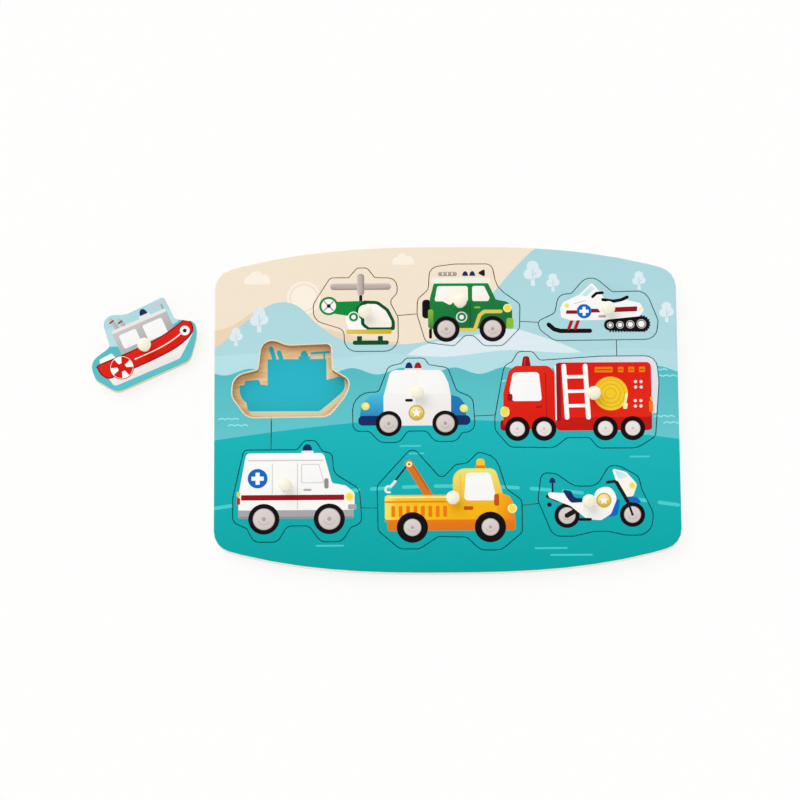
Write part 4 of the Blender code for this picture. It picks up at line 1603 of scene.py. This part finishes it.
def turned_knob(name, tree, values):
    """A plain mesh from the knob's tree with these input values."""
    draft = bpy.data.objects.new(name + "_draft", bpy.data.meshes.new(name + "_blank"))
    bpy.context.scene.collection.objects.link(draft)
    lathe = draft.modifiers.new("Lathe", "NODES")
    lathe.node_group = tree
    for item in tree.interface.items_tree:
        if item.in_out == "INPUT" and item.name in values:
            lathe[item.identifier] = values[item.name]
    draft.update_tag()
    graph = bpy.context.evaluated_depsgraph_get()
    mesh = bpy.data.meshes.new_from_object(draft.evaluated_get(graph), depsgraph=graph)
    blank = draft.data
    bpy.data.objects.remove(draft)
    bpy.data.meshes.remove(blank)
    mesh.name = name
    mesh.shade_smooth()
    mesh.set_sharp_from_angle(angle=SHARP_ANGLE)
    return mesh


# Operators

class PUZZLE_OT_print_board(bpy.types.Operator):
    """Print the landscape on the face board and finish its sawn openings"""

    bl_idname = "puzzle.print_board"
    bl_label = "Print the board"

    def execute(self, context):
        settings = context.scene.puzzle
        wood = settings.wood
        bare = recess_rim((SAW_FLARE + wood.bare_rim) / MM)
        bm = Sheet("face_board", wood.rim_rings).printed(
            landscape_marks() + [Mark(None, bare)], linear_inks(settings.inks))
        sort_faces(bm, FACE_TOP, outer_side=True)
        materials = sheet_materials(
            wood, "satin_print", "sawn_opening", "plain_veneer", "sanded_side")
        finished_piece("printed_face_board", bm, materials, "board",
                       "face_board")
        return {"FINISHED"}


class PUZZLE_OT_print_backing(bpy.types.Operator):
    """Print the vehicles' silhouettes on the backing, the floor of the openings"""

    bl_idname = "puzzle.print_backing"
    bl_label = "Print the backing"

    def execute(self, context):
        settings = context.scene.puzzle
        marks = []
        for vehicle in VEHICLES:
            shapes = silhouette(vehicle_marks(vehicle), "well")
            # Pale copies of the silhouettes, shifted to the lower right, paint light on the
            # recess floor beside them
            marks += [Mark("primer", mark.outline + PAINTED_LIGHT_SHIFT) for mark in shapes] + shapes
        bm = Sheet("backing_board", rings=1, inked_cut=False).printed(
            marks, linear_inks(settings.inks))
        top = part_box("backing_board")[1].z
        sort_faces(bm, top)
        materials = sheet_materials(
            settings.wood, "plain_veneer", "sanded_side", "plain_veneer")
        glued = (FACE_BOTTOM - GLUE_LEFT) / top
        for vert in bm.verts:
            vert.co.z *= glued
        finished_piece("printed_backing", bm, materials, "board",
                       "backing_board")
        return {"FINISHED"}


class PUZZLE_OT_print_plates(bpy.types.Operator):
    """Print the nine vehicles on their plates"""

    bl_idname = "puzzle.print_plates"
    bl_label = "Print the plates"

    def execute(self, context):
        settings = context.scene.puzzle
        wood = settings.wood
        inks = linear_inks(settings.inks)
        materials = sheet_materials(wood, "satin_print", "plate_side", "plain_veneer")
        landscape = landscape_marks()
        for vehicle in VEHICLES:
            node = vehicle + "_piece"
            sheet = Sheet(node, wood.rim_rings, sheet_matrix(vehicle),
                          inked_cut=vehicle != "boat")
            bm = sheet.printed(landscape + vehicle_marks(vehicle), inks)
            sort_faces(bm, sheet.top)
            finished_piece(vehicle + "_printed_plate", bm, materials, vehicle,
                           node)
        return {"FINISHED"}


class PUZZLE_OT_turn_knobs(bpy.types.Operator):
    """Turn and paint the nine knobs"""

    bl_idname = "puzzle.turn_knobs"
    bl_label = "Turn the knobs"

    def execute(self, context):
        knobs = context.scene.puzzle.knobs
        tree = knob_tree()
        values = {
            "Diameter": knobs.diameter, "Height": knobs.height, "Foot": knobs.foot,
            "Neck": knobs.neck, "Cap": knobs.cap, "Tenon": knobs.tenon,
            "Tenon length": knobs.tenon_length, "Sides": knobs.sides,
            "Paint": paint_finish(knobs.paint),
        }
        for vehicle in VEHICLES:
            node = vehicle + "_knob"
            low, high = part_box(node)
            foot = ((low.x + high.x) / 2.0, (low.y + high.y) / 2.0, high.z - knobs.height)
            name = vehicle + "_turned_knob"
            mesh = turned_knob(name, tree, values | {"Place": foot})
            add_piece(name, mesh, node, vehicle)
        return {"FINISHED"}


class PUZZLE_OT_set_studio(bpy.types.Operator):
    """Lay the pale floor, light it and place the camera"""

    bl_idname = "puzzle.set_studio"
    bl_label = "Set the studio"

    def execute(self, context):
        scene = context.scene
        studio = scene.puzzle.studio
        self.lay_floor(scene, studio)
        self.hang_lamp(scene, studio)
        self.light_dome(scene, studio)
        self.place_camera(scene, studio)
        scene.view_settings.view_transform = "Standard"
        return {"FINISHED"}

    def lay_floor(self, scene, studio):
        """A wide flat floor just under the board."""
        bm = bmesh.new()
        bmesh.ops.create_grid(bm, x_segments=8, y_segments=8, size=FLOOR_REACH)
        for vert in bm.verts:
            vert.co.z = -FLOOR_GAP
        mesh = bpy.data.meshes.new("studio_floor")
        bm.to_mesh(mesh)
        bm.free()
        finish = Finish("studio_floor", roughness=0.9, specular=0.0)
        level = 0.998 + finish.noise(finish.on_piece(), scale=3.0, detail=2.0) * 0.002
        paint = finish.tint(linear(studio.floor), level)
        finish.colour(paint)
        glow = finish.add("ShaderNodeEmission", {}, {"Color": paint})
        seen = finish.background_rays() * studio.evenness
        mixed = finish.add("ShaderNodeMixShader", {}, {
            0: seen, 1: Value(finish, finish.shader.outputs[0]), 2: glow})
        finish.feed(finish.tree.nodes["Material Output"].inputs["Surface"], mixed)
        mesh.materials.append(finish.material)
        floor = bpy.data.objects.new("studio_floor", mesh)
        scene.collection.objects.link(floor)

    def hang_lamp(self, scene, studio):
        """A large soft key lamp from the upper left."""
        lamp = bpy.data.lights.new("key_lamp", "SUN")
        lamp.energy = math.pi * studio.sun_share / math.sin(studio.sun_elevation)
        lamp.angle = studio.sun_softness
        key = bpy.data.objects.new("key_lamp", lamp)
        towards = Vector((
            math.cos(studio.sun_elevation) * math.cos(studio.sun_azimuth),
            math.cos(studio.sun_elevation) * math.sin(studio.sun_azimuth),
            math.sin(studio.sun_elevation),
        ))
        key.rotation_euler = towards.to_track_quat("Z", "Y").to_euler()
        scene.collection.objects.link(key)

    def light_dome(self, scene, studio):
        """An even dome of light that grows towards the horizon and looks plain white.

        A level face takes a third of what the horizon adds, so lamp and dome light it as much
        as the white that is seen.
        """
        world = bpy.data.worlds.new("studio_dome")
        world.use_nodes = True
        tent = Nodes(world.node_tree)
        way = tent.add("ShaderNodeTexCoord", {}, {}, "Generated")
        height = tent.add("ShaderNodeSeparateXYZ", {}, {0: way}, "Z").maths("MAXIMUM", 0.0)
        zenith = (1.0 - studio.sun_share) / (1.0 + studio.horizon / 3.0)
        glow = (1.0 + (1.0 - height) * studio.horizon) * zenith
        white = (1.0, 1.0, 1.0, 1.0)
        lit = tent.add("ShaderNodeBackground", {}, {"Color": white, "Strength": glow})
        seen = tent.add("ShaderNodeBackground", {}, {"Color": white})
        mixed = tent.add("ShaderNodeMixShader", {}, {
            0: tent.background_rays(), 1: lit, 2: seen})
        tent.feed(world.node_tree.nodes["World Output"].inputs["Surface"], mixed)
        scene.world = world

    def place_camera(self, scene, studio):
        """The camera that sees the board as the photograph does."""
        turn = studio.azimuth
        right = Vector((math.cos(turn), math.sin(turn), 0.0))
        level = Vector((-math.sin(turn), math.cos(turn), 0.0))
        ahead = level * math.cos(studio.elevation)
        ahead.z = -math.sin(studio.elevation)
        up = right.cross(ahead)
        across, rise = (value * studio.pixel for value in studio.middle)
        data = bpy.data.cameras.new("studio_camera")
        data.sensor_width = FILM_WIDTH
        data.lens = studio.distance / (PICTURE_WIDTH * studio.pixel) * FILM_WIDTH
        data.clip_end = CAMERA_REACH
        camera = bpy.data.objects.new("studio_camera", data)
        camera.location = (
            Vector((0.0, 0.0, FACE_TOP)) - ahead * studio.distance - right * across - up * rise)
        camera.rotation_euler = Matrix((right, up, -ahead)).transposed().to_euler()
        scene.collection.objects.link(camera)
        scene.camera = camera


class PUZZLE_PT_looks(bpy.types.Panel):
    """Settings and steps of the puzzle's looks"""

    bl_idname = "PUZZLE_PT_looks"
    bl_label = "Vehicle puzzle"
    bl_space_type = "VIEW_3D"
    bl_region_type = "UI"
    bl_category = "Puzzle"

    def draw(self, context):
        settings = context.scene.puzzle
        for operator in OPERATORS:
            self.layout.operator(operator.bl_idname)
        for group in (settings.wood, settings.knobs, settings.studio, settings.inks):
            box = self.layout.box()
            for name in group.bl_rna.properties.keys():
                if name not in ("rna_type", "name"):
                    box.prop(group, name)


OPERATORS = (
    PUZZLE_OT_print_board, PUZZLE_OT_print_backing, PUZZLE_OT_print_plates,
    PUZZLE_OT_turn_knobs, PUZZLE_OT_set_studio,
)
CLASSES = (
    PuzzleInks, PuzzleWood, PuzzleKnobs, PuzzleStudio, PuzzleSettings,
) + OPERATORS + (PUZZLE_PT_looks,)


def register():
    """Register the settings, operators and panel."""
    for kind in CLASSES:
        bpy.utils.register_class(kind)
    bpy.types.Scene.puzzle = bpy.props.PointerProperty(type=PuzzleSettings)


def unregister():
    """Remove what register added."""
    del bpy.types.Scene.puzzle
    for kind in reversed(CLASSES):
        bpy.utils.unregister_class(kind)


def main():
    """Make every piece and the stage."""
    register()
    bpy.ops.puzzle.print_board()
    bpy.ops.puzzle.print_backing()
    bpy.ops.puzzle.print_plates()
    bpy.ops.puzzle.turn_knobs()
    bpy.ops.puzzle.set_studio()


if __name__ == "__main__":
    main()
